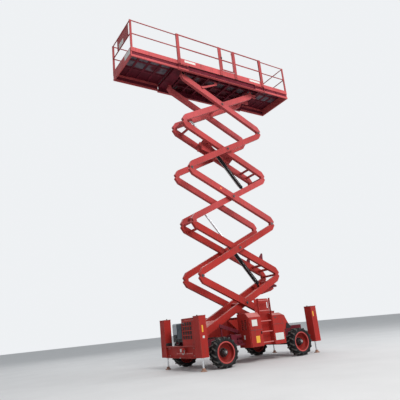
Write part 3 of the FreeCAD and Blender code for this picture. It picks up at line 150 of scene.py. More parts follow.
class Tree:
    """Short way to add and join shader nodes of one new material."""

    def __init__(self, name):
        self.material = bpy.data.materials.new(name)
        self.material.use_nodes = True
        self.nodes = self.material.node_tree.nodes
        self.links = self.material.node_tree.links
        self.nodes.clear()
        self.shader = self.node("ShaderNodeBsdfPrincipled")
        self.put(self.node("ShaderNodeOutputMaterial").inputs[0], self.shader.outputs[0])
        self.place = self.node("ShaderNodeTexCoord").outputs["Object"]

    def node(self, kind, **options):
        made = self.nodes.new(kind)
        for key, value in options.items():
            setattr(made, key, value)
        return made

    def put(self, target, value):
        """Join a socket to the target, or set a number or a colour on it."""
        if isinstance(value, bpy.types.NodeSocket):
            self.links.new(value, target)
        elif target.type == "RGBA":
            target.default_value = (*value[:3], 1.0)
        else:
            target.default_value = value

    def mapped(self, **options):
        """The place in the machine's own axes, scaled or turned."""
        mapping = self.node("ShaderNodeMapping")
        self.put(mapping.inputs["Vector"], self.place)
        for key, value in options.items():
            mapping.inputs[key].default_value = value
        return mapping.outputs[0]

    def noise(self, scale, detail=3.0, stretch=(1.0, 1.0, 1.0)):
        made = self.node("ShaderNodeTexNoise")
        for key, value in (("Vector", self.mapped(Scale=stretch)), ("Scale", scale), ("Detail", detail)):
            self.put(made.inputs[key], value)
        return made.outputs["Fac"]

    def band(self, value, low, high, start=0.0, end=1.0):
        """A value's range from low to high, spread from start to end."""
        made = self.node("ShaderNodeMapRange")
        for key, number in (("Value", value), ("From Min", low), ("From Max", high), ("To Min", start),
                            ("To Max", end)):
            self.put(made.inputs[key], number)
        return made.outputs["Result"]

    def maths(self, operation, first, second=0.5):
        made = self.node("ShaderNodeMath", operation=operation)
        self.put(made.inputs[0], first)
        self.put(made.inputs[1], second)
        return made.outputs[0]

    def blend(self, factor, first, second):
        made = self.node("ShaderNodeMix", data_type="RGBA")
        for key, value in (("Factor", factor), ("A", first), ("B", second)):
            self.put(made.inputs[key], value)
        return made.outputs["Result"]

    def axes(self, vector):
        split = self.node("ShaderNodeSeparateXYZ")
        self.put(split.inputs[0], vector)
        return split.outputs

    def edges(self, width):
        """1 where a surface bends sharply, 0 on flats."""
        bevel = self.node("ShaderNodeBevel", samples=4)
        bevel.inputs["Radius"].default_value = width
        dot = self.node("ShaderNodeVectorMath", operation="DOT_PRODUCT")
        self.put(dot.inputs[0], bevel.outputs["Normal"])
        self.put(dot.inputs[1], self.node("ShaderNodeNewGeometry").outputs["Normal"])
        return self.band(dot.outputs["Value"], 0.995, 0.90)

    def within(self, letter, low, high):
        """1 between two levels of the machine's own axes, 0 outside."""
        value = self.axes(self.place)[letter]
        return self.maths("MULTIPLY", self.maths("GREATER_THAN", value, low),
                          self.maths("LESS_THAN", value, high))

    def upward(self):
        """1 on what faces up, 0 on what is steep or faces down."""
        return self.band(self.axes(self.node("ShaderNodeNewGeometry").outputs["Normal"])["Z"], 0.55, 0.98)

    def bump(self, height, strength, distance):
        made = self.node("ShaderNodeBump")
        for key, value in (("Strength", strength), ("Distance", distance), ("Height", height)):
            self.put(made.inputs[key], value)
        self.put(self.shader.inputs["Normal"], made.outputs["Normal"])

    def finish(self, colour, roughness, metallic=0.0):
        for key, value in (("Base Color", colour), ("Roughness", roughness), ("Metallic", metallic)):
            self.put(self.shader.inputs[key], value)
        return self.material


def shade(colour, factor):
    return tuple(min(1.0, part * factor) for part in colour)


def weathered(tree, colour, wear=1.0, grime=0.5):
    """Faded in patches, streaked with dirt, dusty on top and worn at its edges."""
    patches = tree.band(tree.noise(1.1, 4.0), 0.35, 0.65)
    colour_now = tree.blend(patches, shade(colour, 0.86), shade(colour, 1.12))
    mottle = tree.band(tree.noise(26.0, 2.0), 0.3, 0.7, 0.0, 0.22)
    colour_now = tree.blend(mottle, colour_now, shade(colour, 0.62))
    streaks = tree.band(tree.noise(3.0, 5.0, (9.0, 9.0, 1.0)), 0.52, 0.78, 0.0, grime)
    colour_now = tree.blend(streaks, colour_now, DIRT)
    spots = tree.maths("MULTIPLY", tree.upward(), tree.band(tree.noise(5.0, 4.0), 0.3, 0.75))
    colour_now = tree.blend(tree.maths("MULTIPLY", spots, settings().dust), colour_now, DUST)
    chips = tree.maths("MULTIPLY", tree.edges(settings().edge_wear),
                       tree.band(tree.noise(34.0, 3.0), 0.40, 0.62, 0.0, 0.6 * wear))
    return tree.blend(chips, colour_now, PRIMER)


def painted(tree, colour, rough=(0.42, 0.62)):
    """A paint's fine grain, low gloss and uneven roughness."""
    tree.bump(tree.noise(90.0, 2.0), 0.12, 0.002)
    tree.shader.inputs["Specular IOR Level"].default_value = PAINT_GLOSS
    return tree.finish(colour, tree.band(tree.noise(7.0, 4.0), 0.3, 0.7, *rough))


def paint(name, colour, wear=1.0, rough=(0.42, 0.62), grime=0.5):
    tree = Tree(name)
    return painted(tree, weathered(tree, colour, wear, grime), rough)


def floor_underside(tree, inside):
    """Colour below the floor sheets, all painted shade: darkened grey on the near side, blotched with the
    darkened red, and the darkened red further in.
    """
    mottle = tree.band(tree.noise(5.0, 4.0), 0.35, 0.65)
    # Painted shade: the sheet's grey is darkened, and the blotches and the far part take the darkened red
    plate = tree.blend(mottle, (0.085, 0.066, 0.082), (0.150, 0.125, 0.145))
    blotched = tree.band(tree.noise(1.6, 2.0), 0.55, 0.68)
    plate = tree.blend(blotched, plate, shade(inside, 0.7))
    return tree.blend(tree.within("Y", 0.12, 0.80), plate, shade(inside, 0.65))


def framework_paint(name, outside, inside):
    """Paint of the platform's framework: the paler hazed red outside, painted shade in the darkened red below
    the floor and in the channel, and the painted shade of floor_underside on the sheet underneath.
    """
    tree = Tree(name)
    # Mask of the painted shade: inside the webs below the floor sheet, and in the channel, between the decks'
    # inner ends
    core = tree.maths("MULTIPLY", tree.within("Y", -WEB_FACE, WEB_FACE), tree.within("Z", 0.0, DECK_SHEET[0]))
    hidden = tree.maths("MAXIMUM", core, tree.within("Z", *CHANNEL))
    shaded = tree.maths("MULTIPLY", tree.within("X", -DECK_INSIDE, DECK_INSIDE), hidden)
    mottle = tree.band(tree.noise(5.0, 4.0), 0.35, 0.65)
    under = tree.blend(mottle, shade(inside, 0.6), shade(inside, 1.0))
    sheet = tree.maths("MULTIPLY", tree.within("Z", *DECK_SHEET),
                       tree.within("Y", -DECK_SHEET_EDGE, DECK_SHEET_EDGE))
    colour = tree.blend(shaded, weathered(tree, outside, grime=0.6), under)
    return painted(tree, tree.blend(sheet, colour, floor_underside(tree, inside)))


def rubber(name, dark=0.011, pale=0.090):
    """Tyre rubber: nearly black in the grooves, dusty on the lugs' worn tops."""
    tree = Tree(name)
    place = tree.axes(tree.place)
    near_left, near_right = WHEELS["near_left"], WHEELS["near_right"]
    to_left, to_right = (tree.maths("ABSOLUTE", tree.maths("SUBTRACT", place["X"], axle.x))
                         for axle in (near_left, near_right))
    along = tree.maths("POWER", tree.maths("MINIMUM", to_left, to_right), 2.0)
    height = tree.maths("SUBTRACT", place["Z"], near_left.z)
    radius = tree.maths("SQRT", tree.maths("ADD", along, tree.maths("MULTIPLY", height, height)))
    tops = tree.band(radius, *LUG_TOPS)
    dust = tree.band(tree.noise(6.0, 5.0), 0.42, 0.72, 0.0, 0.55)
    ground = tree.blend(dust, (dark, dark, dark * 1.1), (dark * 2.0, dark * 1.9, dark * 1.8))
    worn = tree.blend(dust, (pale, pale * 0.97, pale * 0.92), (pale * 1.7, pale * 1.55, pale * 1.4))
    chalk = tree.maths("MULTIPLY", tree.edges(0.010), tree.band(tree.noise(18.0), 0.35, 0.65, 0.1, 0.6))
    tree.bump(tree.noise(120.0, 3.0), 0.25, 0.002)
    tree.shader.inputs["Specular IOR Level"].default_value = PAINT_GLOSS
    colour = tree.blend(tree.maths("MAXIMUM", tops, chalk), ground, worn)
    return tree.finish(colour, tree.band(tree.noise(9.0), 0.3, 0.7, 0.62, 0.86))


def metal(name, colour, rough=(0.25, 0.5), stain=(0.12, 0.08, 0.06), amount=0.4):
    """Bare metal, stained in patches and scuffed upwards."""
    tree = Tree(name)
    marks = tree.band(tree.noise(8.0, 5.0), 0.48, 0.75, 0.0, amount)
    colour_now = tree.blend(marks, colour, stain)
    scuffs = tree.band(tree.noise(40.0, 2.0, (1.0, 1.0, 6.0)), 0.45, 0.7, 0.0, 0.3)
    colour_now = tree.blend(scuffs, colour_now, shade(colour, 0.7))
    tree.bump(tree.noise(70.0, 3.0), 0.10, 0.001)
    return tree.finish(colour_now, tree.band(tree.noise(14.0), 0.3, 0.7, *rough), 1.0)


def rusty(name):
    """Rust in dark and orange patches, with a pale bloom."""
    tree = Tree(name)
    patches = tree.band(tree.noise(9.0, 6.0), 0.35, 0.65)
    colour = tree.blend(patches, (0.20, 0.075, 0.040), (0.36, 0.20, 0.14))
    colour = tree.blend(tree.band(tree.noise(45.0), 0.45, 0.7, 0.0, 0.6), colour, (0.42, 0.33, 0.27))
    tree.bump(tree.noise(60.0, 4.0), 0.35, 0.003)
    return tree.finish(colour, tree.band(tree.noise(20.0), 0.3, 0.7, 0.65, 0.9))


def plastic(name, colour, dust=0.35):
    """Moulded plastic or plate, with a film of dust and paler edges."""
    tree = Tree(name)
    film = tree.band(tree.noise(5.0, 5.0), 0.42, 0.75, 0.0, dust)
    colour_now = tree.blend(film, colour, tuple(0.6 * part + 0.12 for part in colour))
    worn = tree.maths("MULTIPLY", tree.edges(0.004), tree.band(tree.noise(30.0), 0.4, 0.6, 0.0, 0.5))
    colour_now = tree.blend(worn, colour_now, tuple(min(1.0, part * 1.5 + 0.05) for part in colour))
    tree.bump(tree.noise(160.0, 2.0), 0.18, 0.001)
    return tree.finish(colour_now, tree.band(tree.noise(12.0), 0.3, 0.7, 0.42, 0.62))


def deck_sheet(name, inside):
    """Steel floor sheet with a raised lozenge tread, dull and dirty; below the floor's underside level it
    takes painted shade.
    """
    tree = Tree(name)
    colour = tree.blend(tree.band(tree.noise(2.0, 5.0), 0.35, 0.7), (0.22, 0.20, 0.20), (0.33, 0.31, 0.30))
    colour = tree.blend(tree.band(tree.noise(14.0, 4.0), 0.5, 0.75, 0.0, 0.6), colour, (0.16, 0.10, 0.08))
    colour = tree.blend(tree.within("Z", 0.0, FLOOR_UNDERSIDE), colour, floor_underside(tree, inside))
    check = tree.node("ShaderNodeTexVoronoi", distance="CHEBYCHEV")
    lozenges = tree.mapped(Rotation=(0.0, 0.0, math.radians(45.0)), Scale=(26.0, 26.0, 26.0))
    for key, value in (("Vector", lozenges), ("Scale", 1.0), ("Randomness", 0.0)):
        tree.put(check.inputs[key], value)
    tree.bump(tree.band(check.outputs["Distance"], 0.18, 0.30, 1.0, 0.0), 0.6, 0.004)
    return tree.finish(colour, tree.band(tree.noise(10.0), 0.3, 0.7, 0.45, 0.7), 0.6)


@functools.cache
def finishes():
    """Every finish by its key, made once from the colours of the settings."""
    own = settings()
    body, hazed, deep = tuple(own.body_red), tuple(own.hazed_red), tuple(own.painted_shade_red)
    # The middle stages mix the body red with the paler red, part painted haze light
    middle = tuple((a + b) / 2 for a, b in zip(body, hazed))
    return {
        "body": paint("Body paint", body),
        "arm_low": paint("Lower arm paint", shade(body, 1.08)),
        "arm_mid": paint("Middle arm paint", middle),
        "arm_high": paint("Upper arm paint", hazed),
        "platform": paint("Platform paint", hazed, grime=0.6),
        # The underside red is painted shade on the chassis frame, mounts, hydraulic unit, prop and arm eyes
        "under": paint("Underside red, painted shade", deep, wear=0.5, grime=0.6),
        "rails": paint("Guard rail paint", shade(hazed, 0.74), wear=0.6),
        # Painted shade and highlight: the rim takes the body red darkened for the shade in the wheel's dish,
        # the flange a paler red for the light on its lip
        "rim": paint("Rim paint, painted shade", shade(body, 0.88), 0.6, (0.40, 0.62), 0.55),
        "pale_rim": paint("Rim edge paint, painted highlight", (0.50, 0.085, 0.080), 0.5, (0.40, 0.62), 0.3),
        # Pale paint: on the end beams' tops it is a painted highlight
        "pale": paint("Pale top paint", (0.54, 0.16, 0.15), wear=0.6, grime=0.3),
        "tyre": rubber("Tyre rubber"),
        "tread": rubber("Lug rubber", 0.034, 0.100),
        "hose": plastic("Hose rubber", (0.018, 0.018, 0.020)),
        "chrome": metal("Hard chrome", (0.72, 0.73, 0.75), (0.10, 0.24), (0.30, 0.24, 0.18), 0.35),
        "steel": metal("Bare steel", (0.42, 0.41, 0.40), (0.30, 0.52)),
        "dark_steel": metal("Oily steel", (0.085, 0.082, 0.085), (0.35, 0.6), (0.06, 0.04, 0.03)),
        "black": paint("Black paint", (0.014, 0.014, 0.017), 0.7, (0.22, 0.42), 0.35),
        "iron": metal("Engine iron", (0.075, 0.075, 0.080), (0.45, 0.7), (0.10, 0.06, 0.04), 0.6),
        "rust": rusty("Rusty foot"),
        "brown_top": paint("Weathered cap paint", (0.17, 0.055, 0.040), wear=0.6, grime=0.6),
        "plastic": plastic("Grey plastic", (0.055, 0.060, 0.070)),
        "cover": plastic("Filter cover", (0.33, 0.35, 0.38)),
        "white": plastic("White plate", (0.62, 0.61, 0.58), 0.5),
        "yellow": plastic("Yellow plate", (0.72, 0.36, 0.02), 0.25),
        "orange": plastic("Orange mark", (0.75, 0.17, 0.03), 0.25),
        "deck": deck_sheet("Deck sheet", deep),
        "framework": framework_paint("Platform framework paint", hazed, deep),
        "blue_black": plastic("Cooler paint", (0.022, 0.034, 0.050), 0.3),
        # Black of the control panel, and painted shade behind the grille and the slots
        "black_panel_and_shade": plastic("Black panel and painted shade", (0.010, 0.009, 0.010), 0.1),
    }


# From the lowest stage to the top, the red grades from the body red to the paler hazed red: painted haze
# light
ARM_FINISHES = {1: "arm_low", 2: "arm_low", 3: "arm_mid", 4: "arm_mid", 5: "arm_high"}
# The nodes of the frame that each finish goes to, apart from those of stages and corners
FINISHED_NODES = {
    "body": "end_beams jack_columns engine_housing cabinet_near cabinet_door tank_near far_boxes ladder"
            " ladder_panel",
    # Painted shade: these parts take the darkened underside red
    "under": "base_mounts chassis_frame hydraulic_unit maintenance_prop",
    "iron": "engine_block",
    "blue_black": "air_filter",
    "black": "axle_left axle_right knuckle_near knuckle_far cylinder_low_barrel cylinder_high_barrel",
    "chrome": "cylinder_low_rod cylinder_high_rod",
    "framework": "platform_frame left_deck right_deck",
    "platform": "platform_mounts",
    "deck": "platform_floor",
    "rails": "platform_rails left_deck_rails right_deck_rails gate",
    "plastic": "control_box",
}
NODE_FINISHES = {node: finish for finish, nodes in FINISHED_NODES.items() for node in nodes.split()}
for corner in CORNERS:
    NODE_FINISHES |= {f"tyre_{corner}": "tyre", f"rim_{corner}": "rim", f"jack_leg_{corner}": "chrome"}
for stage_number, arm_paint in ARM_FINISHES.items():
    for kind_of_node in ("inner_arms", "outer_arms", "inner_tubes"):
        NODE_FINISHES[f"{kind_of_node}_{stage_number}"] = arm_paint


# Mesh helpers. Each adds to a bmesh; spin is a matrix that places the piece in the row frame.

def add_block(bm, corner, opposite, spin=Matrix()):
    low, high = (Vector(end) for end in zip(*(sorted(pair) for pair in zip(corner, opposite))))
    where = spin @ Matrix.Translation((low + high) / 2) @ Matrix.Diagonal((*(high - low), 1.0))
    bmesh.ops.create_cube(bm, size=1.0, matrix=where)


def add_rod(bm, start, end, radius, sides=16, spin=Matrix(), end_radius=None):
    start, end = Vector(start), Vector(end)
    along = end - start
    turn = along.to_track_quat("Z", "Y").to_matrix().to_4x4()
    where = spin @ Matrix.Translation((start + end) / 2) @ turn
    bmesh.ops.create_cone(bm, cap_ends=True, segments=sides, radius1=radius,
                          radius2=radius if end_radius is None else end_radius,
                          depth=along.length, matrix=where)


def skin_rings(bm, rings):
    """Faces between rings of the same number of points, each ring joined to the next."""
    for one, two in rings:
        for index in range(len(one)):
            following = (index + 1) % len(one)
            bm.faces.new((one[index], one[following], two[following], two[index]))


def add_loft(bm, rings, spin=Matrix()):
    """Solid skin through rings of the same number of points, closed at both ends."""
    rows = [[bm.verts.new(spin @ Vector(point)) for point in ring] for ring in rings]
    skin_rings(bm, zip(rows, rows[1:]))
    bm.faces.new(list(reversed(rows[0])))
    bm.faces.new(rows[-1])


def add_prism(bm, outline, low, high, spin=Matrix(), axis="y"):
    """A closed outline of (x, z), or of (y, z) with axis x, drawn out along the axis."""
    add_loft(bm, [[(level, a, b) if axis == "x" else (a, level, b) for a, b in outline]
                  for level in (low, high)], spin)


def circle(count, radius, start=0.0):
    """Evenly spaced points of a circle, the first at the angle start."""
    angles = [start + 2 * math.pi * step / count for step in range(count)]
    return [(radius * math.cos(angle), radius * math.sin(angle)) for angle in angles]


def add_lathe(bm, profile, spin, sides=32):
    """A closed profile of (radius, height) turned about the local Z axis."""
    rows = [[bm.verts.new(spin @ Vector((r * x, r * y, z))) for r, z in profile]
            for x, y in circle(sides, 1.0)]
    skin_rings(bm, zip(rows, rows[1:] + rows[:1]))


def piece(name, body, finish, fill, bevel=0.0, segments=2):
    """One object that fill() draws into a bmesh, riding on a body of the machine."""
    bm = bmesh.new()
    fill(bm)
    bmesh.ops.recalc_face_normals(bm, faces=bm.faces)
    mesh = bpy.data.meshes.new(name)
    bm.to_mesh(mesh)
    bm.free()
    made = bpy.data.objects.new(name, mesh)
    bpy.context.scene.collection.objects.link(made)
    mesh.materials.append(finishes()[finish])
    if bevel:
        round_edges = made.modifiers.new("Rounded edges", "BEVEL")
        round_edges.width = bevel
        round_edges.segments = segments
        round_edges.limit_method = "ANGLE"
        round_edges.angle_limit = math.radians(35)
    mesh.shade_smooth()
    made.modifiers.new("Crisp shading", "WEIGHTED_NORMAL")
    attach(made, body)


def plates(name, body, finish, rows, bevel=0.001, spin=Matrix()):
    """A piece of square-cut plates, each row two opposite corners."""
    def fill(bm):
        for corner, opposite in rows:
            add_block(bm, corner, opposite, spin)

    piece(name, body, finish, fill, bevel)


def add_bolts(bm, rows, radius, height, spin=Matrix()):
    """Hexagon heads, each row a place on a surface and the way that the surface faces."""
    for place, facing in rows:
        add_rod(bm, place, Vector(place) + Vector(facing) * height, radius, 6, spin)


def bolts(name, body, finish, rows, radius, height, spin=Matrix()):
    piece(name, body, finish, lambda bm: add_bolts(bm, rows, radius, height, spin), bevel=0.001)


def rods(name, body, finish, rows, bevel=0.001, spin=Matrix()):
    """A piece of round rods, each row its two ends, radius and number of sides."""
    def fill(bm):
        for start, end, radius, sides in rows:
            add_rod(bm, start, end, radius, sides, spin)

    piece(name, body, finish, fill, bevel)


def turned(name, body, finish, profile, spin, sides, bevel=0.0):
    """A piece turned on a lathe, from its closed profile of (radius, height)."""
    piece(name, body, finish, lambda bm: add_lathe(bm, profile, spin, sides), bevel)


def hose(name, body, points, radius, finish="hose", spin=Matrix()):
    """A hose or pipe clipped at both ends, along a smooth line that its points lead."""
    curve = bpy.data.curves.new(name, "CURVE")
    curve.dimensions = "3D"
    curve.bevel_depth = radius
    curve.bevel_resolution = 3
    line = curve.splines.new("NURBS")
    line.points.add(len(points) - 1)
    for point, place in zip(line.points, points):
        point.co = (*(spin @ Vector(place)), 1.0)
    line.order_u = 3
    line.use_endpoint_u = True
    line.resolution_u = 8
    made = bpy.data.objects.new(name, curve)
    bpy.context.scene.collection.objects.link(made)
    curve.materials.append(finishes()[finish])
    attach(made, body)


def side_of(place):
    """-1 on the near side, 1 on the far side."""
    return -1 if place.y < 0 else 1


def arm_spin(stage, kind):
    """Matrix from an arm's own axes (X along it, at its middle) to the row frame, and which way it leans."""
    lean = 1 if (stage % 2 == 1) == (kind == "inner") else -1
    middle = Matrix.Translation(PINS[f"cross_pin_{stage}"])
    return middle @ Matrix.Rotation(-lean * ARM_TILT, 4, "Y"), lean


class LIFT_OT_nodes(bpy.types.Operator):
    """Give every solid of the frame its finish"""

    bl_idname = "lift.nodes"
    bl_label = "Frame finishes"

    def execute(self, context):
        finishes.cache_clear()
        for name, node in frame["nodes"].items():
            node.data.materials.clear()
            node.data.materials.append(finishes()[NODE_FINISHES[name]])
        return {"FINISHED"}


class LIFT_OT_wheels(bpy.types.Operator):
    """Hub caps, wheel nuts, sidewalls and the lugs' shoulders"""

    bl_idname = "lift.wheels"
    bl_label = "Wheel fittings"

    def execute(self, context):
        for name, axle in WHEELS.items():
            body = f"wheel_{name}"
            middle = Matrix.Translation(axle)
            spin = middle @ Matrix.Rotation(-side_of(axle) * QUARTER, 4, "X")
            back = middle @ Matrix.Rotation(side_of(axle) * QUARTER, 4, "X")

            def sidewalls(bm):
                """Bulged sidewalls, with two raised rings on the outer one."""
                skin = [(0.2905, 0.1300), (0.297, 0.1400), (0.312, 0.1520), (0.330, 0.1600),
                        (0.346, 0.1625), (0.360, 0.1600), (0.3725, 0.1535), (0.3725, 0.1490),
                        (0.340, 0.1550), (0.2905, 0.1260)]
                for turn in (spin, back):
                    add_lathe(bm, skin, turn, 64)
                for radius, height in ((0.318, 0.1545), (0.304, 0.1460)):
                    add_lathe(bm, [(radius - 0.004, height - 0.004), (radius - 0.002, height + 0.002),
                                   (radius + 0.002, height + 0.003), (radius + 0.005, height)], spin, 64)

            def shoulders(bm):
                """Lugs carried down over both shoulders of the tread."""
                # Radius, and the lug's edges there: left, right, inside and outside
                sections = ((0.4045, -0.048, -0.004, 0.1480, 0.1545), (0.398, -0.050, -0.005, 0.1480, 0.1600),
                            (0.372, -0.056, -0.014, 0.1500, 0.1645), (0.342, -0.060, -0.028, 0.1600, 0.1655))
                for row, out in enumerate(SIDES):
                    for step in range(LUGS):
                        turn = middle @ Matrix.Rotation(2 * math.pi * (step + row / 2) / LUGS, 4, "Y")
                        add_loft(bm, [[(x, out * y, radius) for x, y in (
                            (left, inside), (right, inside), (right, outside), (left, outside))]
                            for radius, left, right, inside, outside in sections], turn)

            piece(f"sidewall_{name}", body, "tyre", sidewalls)
            piece(f"lug_shoulders_{name}", body, "tread", shoulders, bevel=0.002)
            turned(f"hub_plate_{name}", body, "dark_steel", [
                (0.070, 0.0795), (0.1070, 0.0195), (0.1110, -0.0262), (0.1240, -0.0262), (0.1240, -0.0160),
                (0.1135, -0.0140), (0.1095, 0.0215), (0.0770, 0.0820), (0.070, 0.0820)], spin, 40, 0.0015)
            turned(f"hub_{name}", body, "dark_steel", [
                (0.0005, 0.080), (0.071, 0.080), (0.073, 0.086), (0.062, 0.118), (0.036, 0.126),
                (0.0005, 0.126)], spin, 28, 0.002)
            turned(f"hub_cap_{name}", body, "steel", [
                (0.0005, 0.126), (0.030, 0.126), (0.030, 0.138), (0.022, 0.146), (0.0005, 0.146)],
                spin, 20, 0.002)
            # The nuts, and the ends of the studs in them
            rods(f"wheel_nuts_{name}", body, "dark_steel", [
                ((*spot, start), (*spot, end), radius, sides) for spot in circle(8, 0.092)
                for start, end, radius, sides in ((0.040, 0.066, 0.012, 6), (0.066, 0.076, 0.007, 8))],
                spin=spin)
            # Flange ring in the paler rim red, a painted highlight
            turned(f"rim_flange_{name}", body, "pale_rim", [
                (0.258, 0.124), (0.286, 0.124), (0.290, 0.134), (0.286, 0.140), (0.268, 0.140),
                (0.258, 0.134)], spin, 64)
            valve = Vector((*circle(1, 0.246, math.radians(35))[0], 0.060))
            rods(f"valve_{name}", body, "hose", [
                (valve, valve + Vector((-0.012, -0.008, 0.045)), 0.006, 10)], 0.0, spin)
        return {"FINISHED"}


class LIFT_OT_pins(bpy.types.Operator):
    """Pin heads with keeper plates at every pivot of the stack"""

    bl_idname = "lift.pins"
    bl_label = "Pins"

    def execute(self, context):
        def place_heads(name, body, x, z, spin=Matrix()):
            """Washer, pin end and bolted keeper plate on both outer faces."""
            def heads(bm):
                for out in SIDES:
                    y = out * OUTER_FACE
                    add_rod(bm, (x, y, z), (x, y + out * 0.006, z), 0.046, 28, spin)
                    add_rod(bm, (x, y, z), (x, y + out * 0.012, z), 0.029, 24, spin)
                    add_block(bm, (x - 0.012, y + out * 0.004, z - 0.058),
                              (x + 0.012, y + out * 0.010, z - 0.009), spin)

            piece(f"pin_heads_{name}", body, "dark_steel", heads, bevel=0.0015)
            bolts(f"pin_bolts_{name}", body, "steel",
                  [((x, out * (OUTER_FACE + 0.010), z - 0.047), (0, out, 0)) for out in SIDES],
                  0.008, 0.006, spin)

        for stage in STAGES:
            if stage > 1:
                spin, lean = arm_spin(stage, "outer")
                place_heads(f"outer_{stage}", f"outer_{stage}", -lean * REACH / 2, -FOLDED_PITCH / 2, spin)
            spin, lean = arm_spin(stage, "inner")

            def centre_heads(bm):
                for out in SIDES:
                    base = (OUTER_FACE + 0.015) * out
                    add_rod(bm, (0, base, 0), (0, base + out * 0.005, 0), 0.040, 28, spin)
                    add_bolts(bm, [((0, base + out * 0.005, 0), (0, out, 0))], 0.020, 0.012, spin)
                    ring = [((x, base, z), (0, out, 0)) for x, z in circle(4, 0.048, math.pi / 4)]
                    add_bolts(bm, ring, 0.006, 0.005, spin)

            piece(f"centre_bolts_{stage}", f"inner_{stage}", "dark_steel", centre_heads, bevel=0.001)
        place_heads("platform", "platform", BASE_X, TOP_Z)
        return {"FINISHED"}


class LIFT_OT_arms(bpy.types.Operator):
    """Weld plates, lifting marks and hose runs on the arms"""

    bl_idname = "lift.arms"
    bl_label = "Arm fittings"

    def execute(self, context):
        arm_back = INNER_FACE - ARM_WIDTH
        hose_y = 0.016 - arm_back
        weld = ARM_DEPTH / 2 - 0.007
        for stage in STAGES:
            spin, _ = arm_spin(stage, "outer")
            inner_spin, lean = arm_spin(stage, "inner")

            def boss_rings(bm):
                """Doubler rings round the centre pivot, welded to the outer arms."""
                ring = [(0.062, -0.002), (0.086, -0.002), (0.086, 0.003), (0.083, 0.006), (0.062, 0.006)]
                for out in SIDES:
                    add_lathe(bm, [(radius, OUTER_FACE + height) for radius, height in ring],
                              spin @ Matrix.Rotation(-out * QUARTER, 4, "X"), 40)

            piece(f"boss_rings_{stage}", f"outer_{stage}", ARM_FINISHES[stage], boss_rings)
            # Flange edges of the box section, as narrow welds along the near and far faces
            reach = REACH / 2 - 0.16
            plates(f"arm_seams_{stage}", f"outer_{stage}", ARM_FINISHES[stage], [
                ((-reach, out * OUTER_FACE, z - 0.004), (reach, out * (OUTER_FACE + 0.003), z + 0.004))
                for out, z in product(SIDES, (-weld, weld))], spin=spin)
            # How far each hose hangs below the first one, and its radius. The upper stages have two.
            drops = ((0.0, 0.010), (0.026, 0.010), (0.050, 0.008))[:3 if stage <= 3 else 2]
            end, end_z = REACH / 2, FOLDED_PITCH / 2
            for run, (drop, radius) in enumerate(drops):
                level, crown, bend = 0.045 - drop, 0.072 - drop * 0.4, end_z - 0.06 - drop * 0.6
                line = ((-end, -end_z), (0.12 - end, -bend), (0.34 - end, level), (-0.9, level),
                        (-0.25, crown), (0.25, crown), (0.9, level), (end - 0.34, level),
                        (end - 0.12, bend), (end, end_z))
                hose(f"arm_hose_{stage}_{run}", f"inner_{stage}", [(lean * x, hose_y, z) for x, z in line],
                     radius, spin=inner_spin)
            # Back and two jaws of a hose clip: its edges across and up, from the hoses' middle
            clip = ((-0.015, -0.010, -0.020, 0.066), (-0.016, 0.011, -0.020, -0.014),
                    (-0.016, 0.011, 0.060, 0.066))
            plates(f"hose_clips_{stage}", f"inner_{stage}", "steel", [
                ((x - 0.012, hose_y + near, low), (x + 0.012, hose_y + far, high))
                for x in (-1.2, -0.75, 0.75, 1.2) for near, far, low, high in clip], spin=inner_spin)

        for stage, x in ((1, 0.75), (3, -0.55)):
            plates(f"arm_mark_{stage}", f"outer_{stage}", "orange", [
                ((x - 0.040, out * OUTER_FACE, -0.026), (x + 0.040, out * (OUTER_FACE + 0.002), 0.026))
                for out in SIDES], 0.0008, arm_spin(stage, "outer")[0])
        cradle_spin, _ = arm_spin(4, "inner")
        plate_face = 0.105

        def cradle(bm):
            """Two side plates that straddle the upper cylinder, on stub tubes from the inner arms."""
            outline = [(-0.86, -0.10), (-0.82, 0.08), (-0.58, 0.09), (-0.30, -0.02), (0.14, 0.04),
                       (0.40, 0.16), (0.52, 0.04), (0.44, -0.22), (0.24, -0.26), (0.13, -0.12),
                       (-0.13, -0.12), (-0.20, -0.34), (-0.40, -0.27), (-0.76, -0.33)]
            for out in SIDES:
                add_prism(bm, outline, out * plate_face, out * (plate_face + 0.014), cradle_spin)
                start, end = sorted((out * (plate_face + 0.013), out * (arm_back - 0.0005)))
                for x in (-0.62, 0.34):
                    add_rod(bm, (x, start, 0.0), (x, end, 0.0), 0.034, 28, cradle_spin)

        def cradle_ribs(bm):
            """Ribs on edge along the borders of both side plates."""
            for out in SIDES:
                for start, end in (((-0.84, -0.10), (-0.76, -0.32)), ((-0.80, 0.075), (-0.58, 0.085)),
                                   ((0.41, 0.15), (0.51, 0.04)), ((0.43, -0.21), (0.25, -0.25))):
                    start, end = Vector(start), Vector(end)
                    cross = (end - start).orthogonal().normalized() * 0.005
                    add_prism(bm, [start - cross, end - cross, end + cross, start + cross],
                              out * (plate_face + 0.014), out * (plate_face + 0.060), cradle_spin)

        piece("cylinder_cradle", "inner_4", ARM_FINISHES[4], cradle, bevel=0.002)
        piece("cradle_ribs", "inner_4", ARM_FINISHES[4], cradle_ribs, bevel=0.001)
        eye_spin, _ = arm_spin(2, "inner")

        def top_eye(bm):
            """Lifting eye on a swept plate along the second inner arms."""
            middle = INNER_FACE - ARM_WIDTH / 2
            eye = eye_spin.inverted() @ Vector((1.230, 0.0, 3.295))
            outline = [(eye.x - 0.085, 0.096), (eye.x - 0.038, eye.z - 0.015), (eye.x - 0.020, eye.z + 0.030),
                       (eye.x + 0.022, eye.z + 0.030), (eye.x + 0.044, eye.z - 0.012),
                       (eye.x + 0.10, 0.135), (eye.x + 0.20, 0.108), (eye.x + 0.34, 0.096)]
            for y in (-middle, middle):
                add_prism(bm, outline, y - 0.008, y + 0.008, eye_spin)
                add_rod(bm, (eye.x, y - 0.016, eye.z), (eye.x, y + 0.016, eye.z), 0.024, 24, eye_spin)

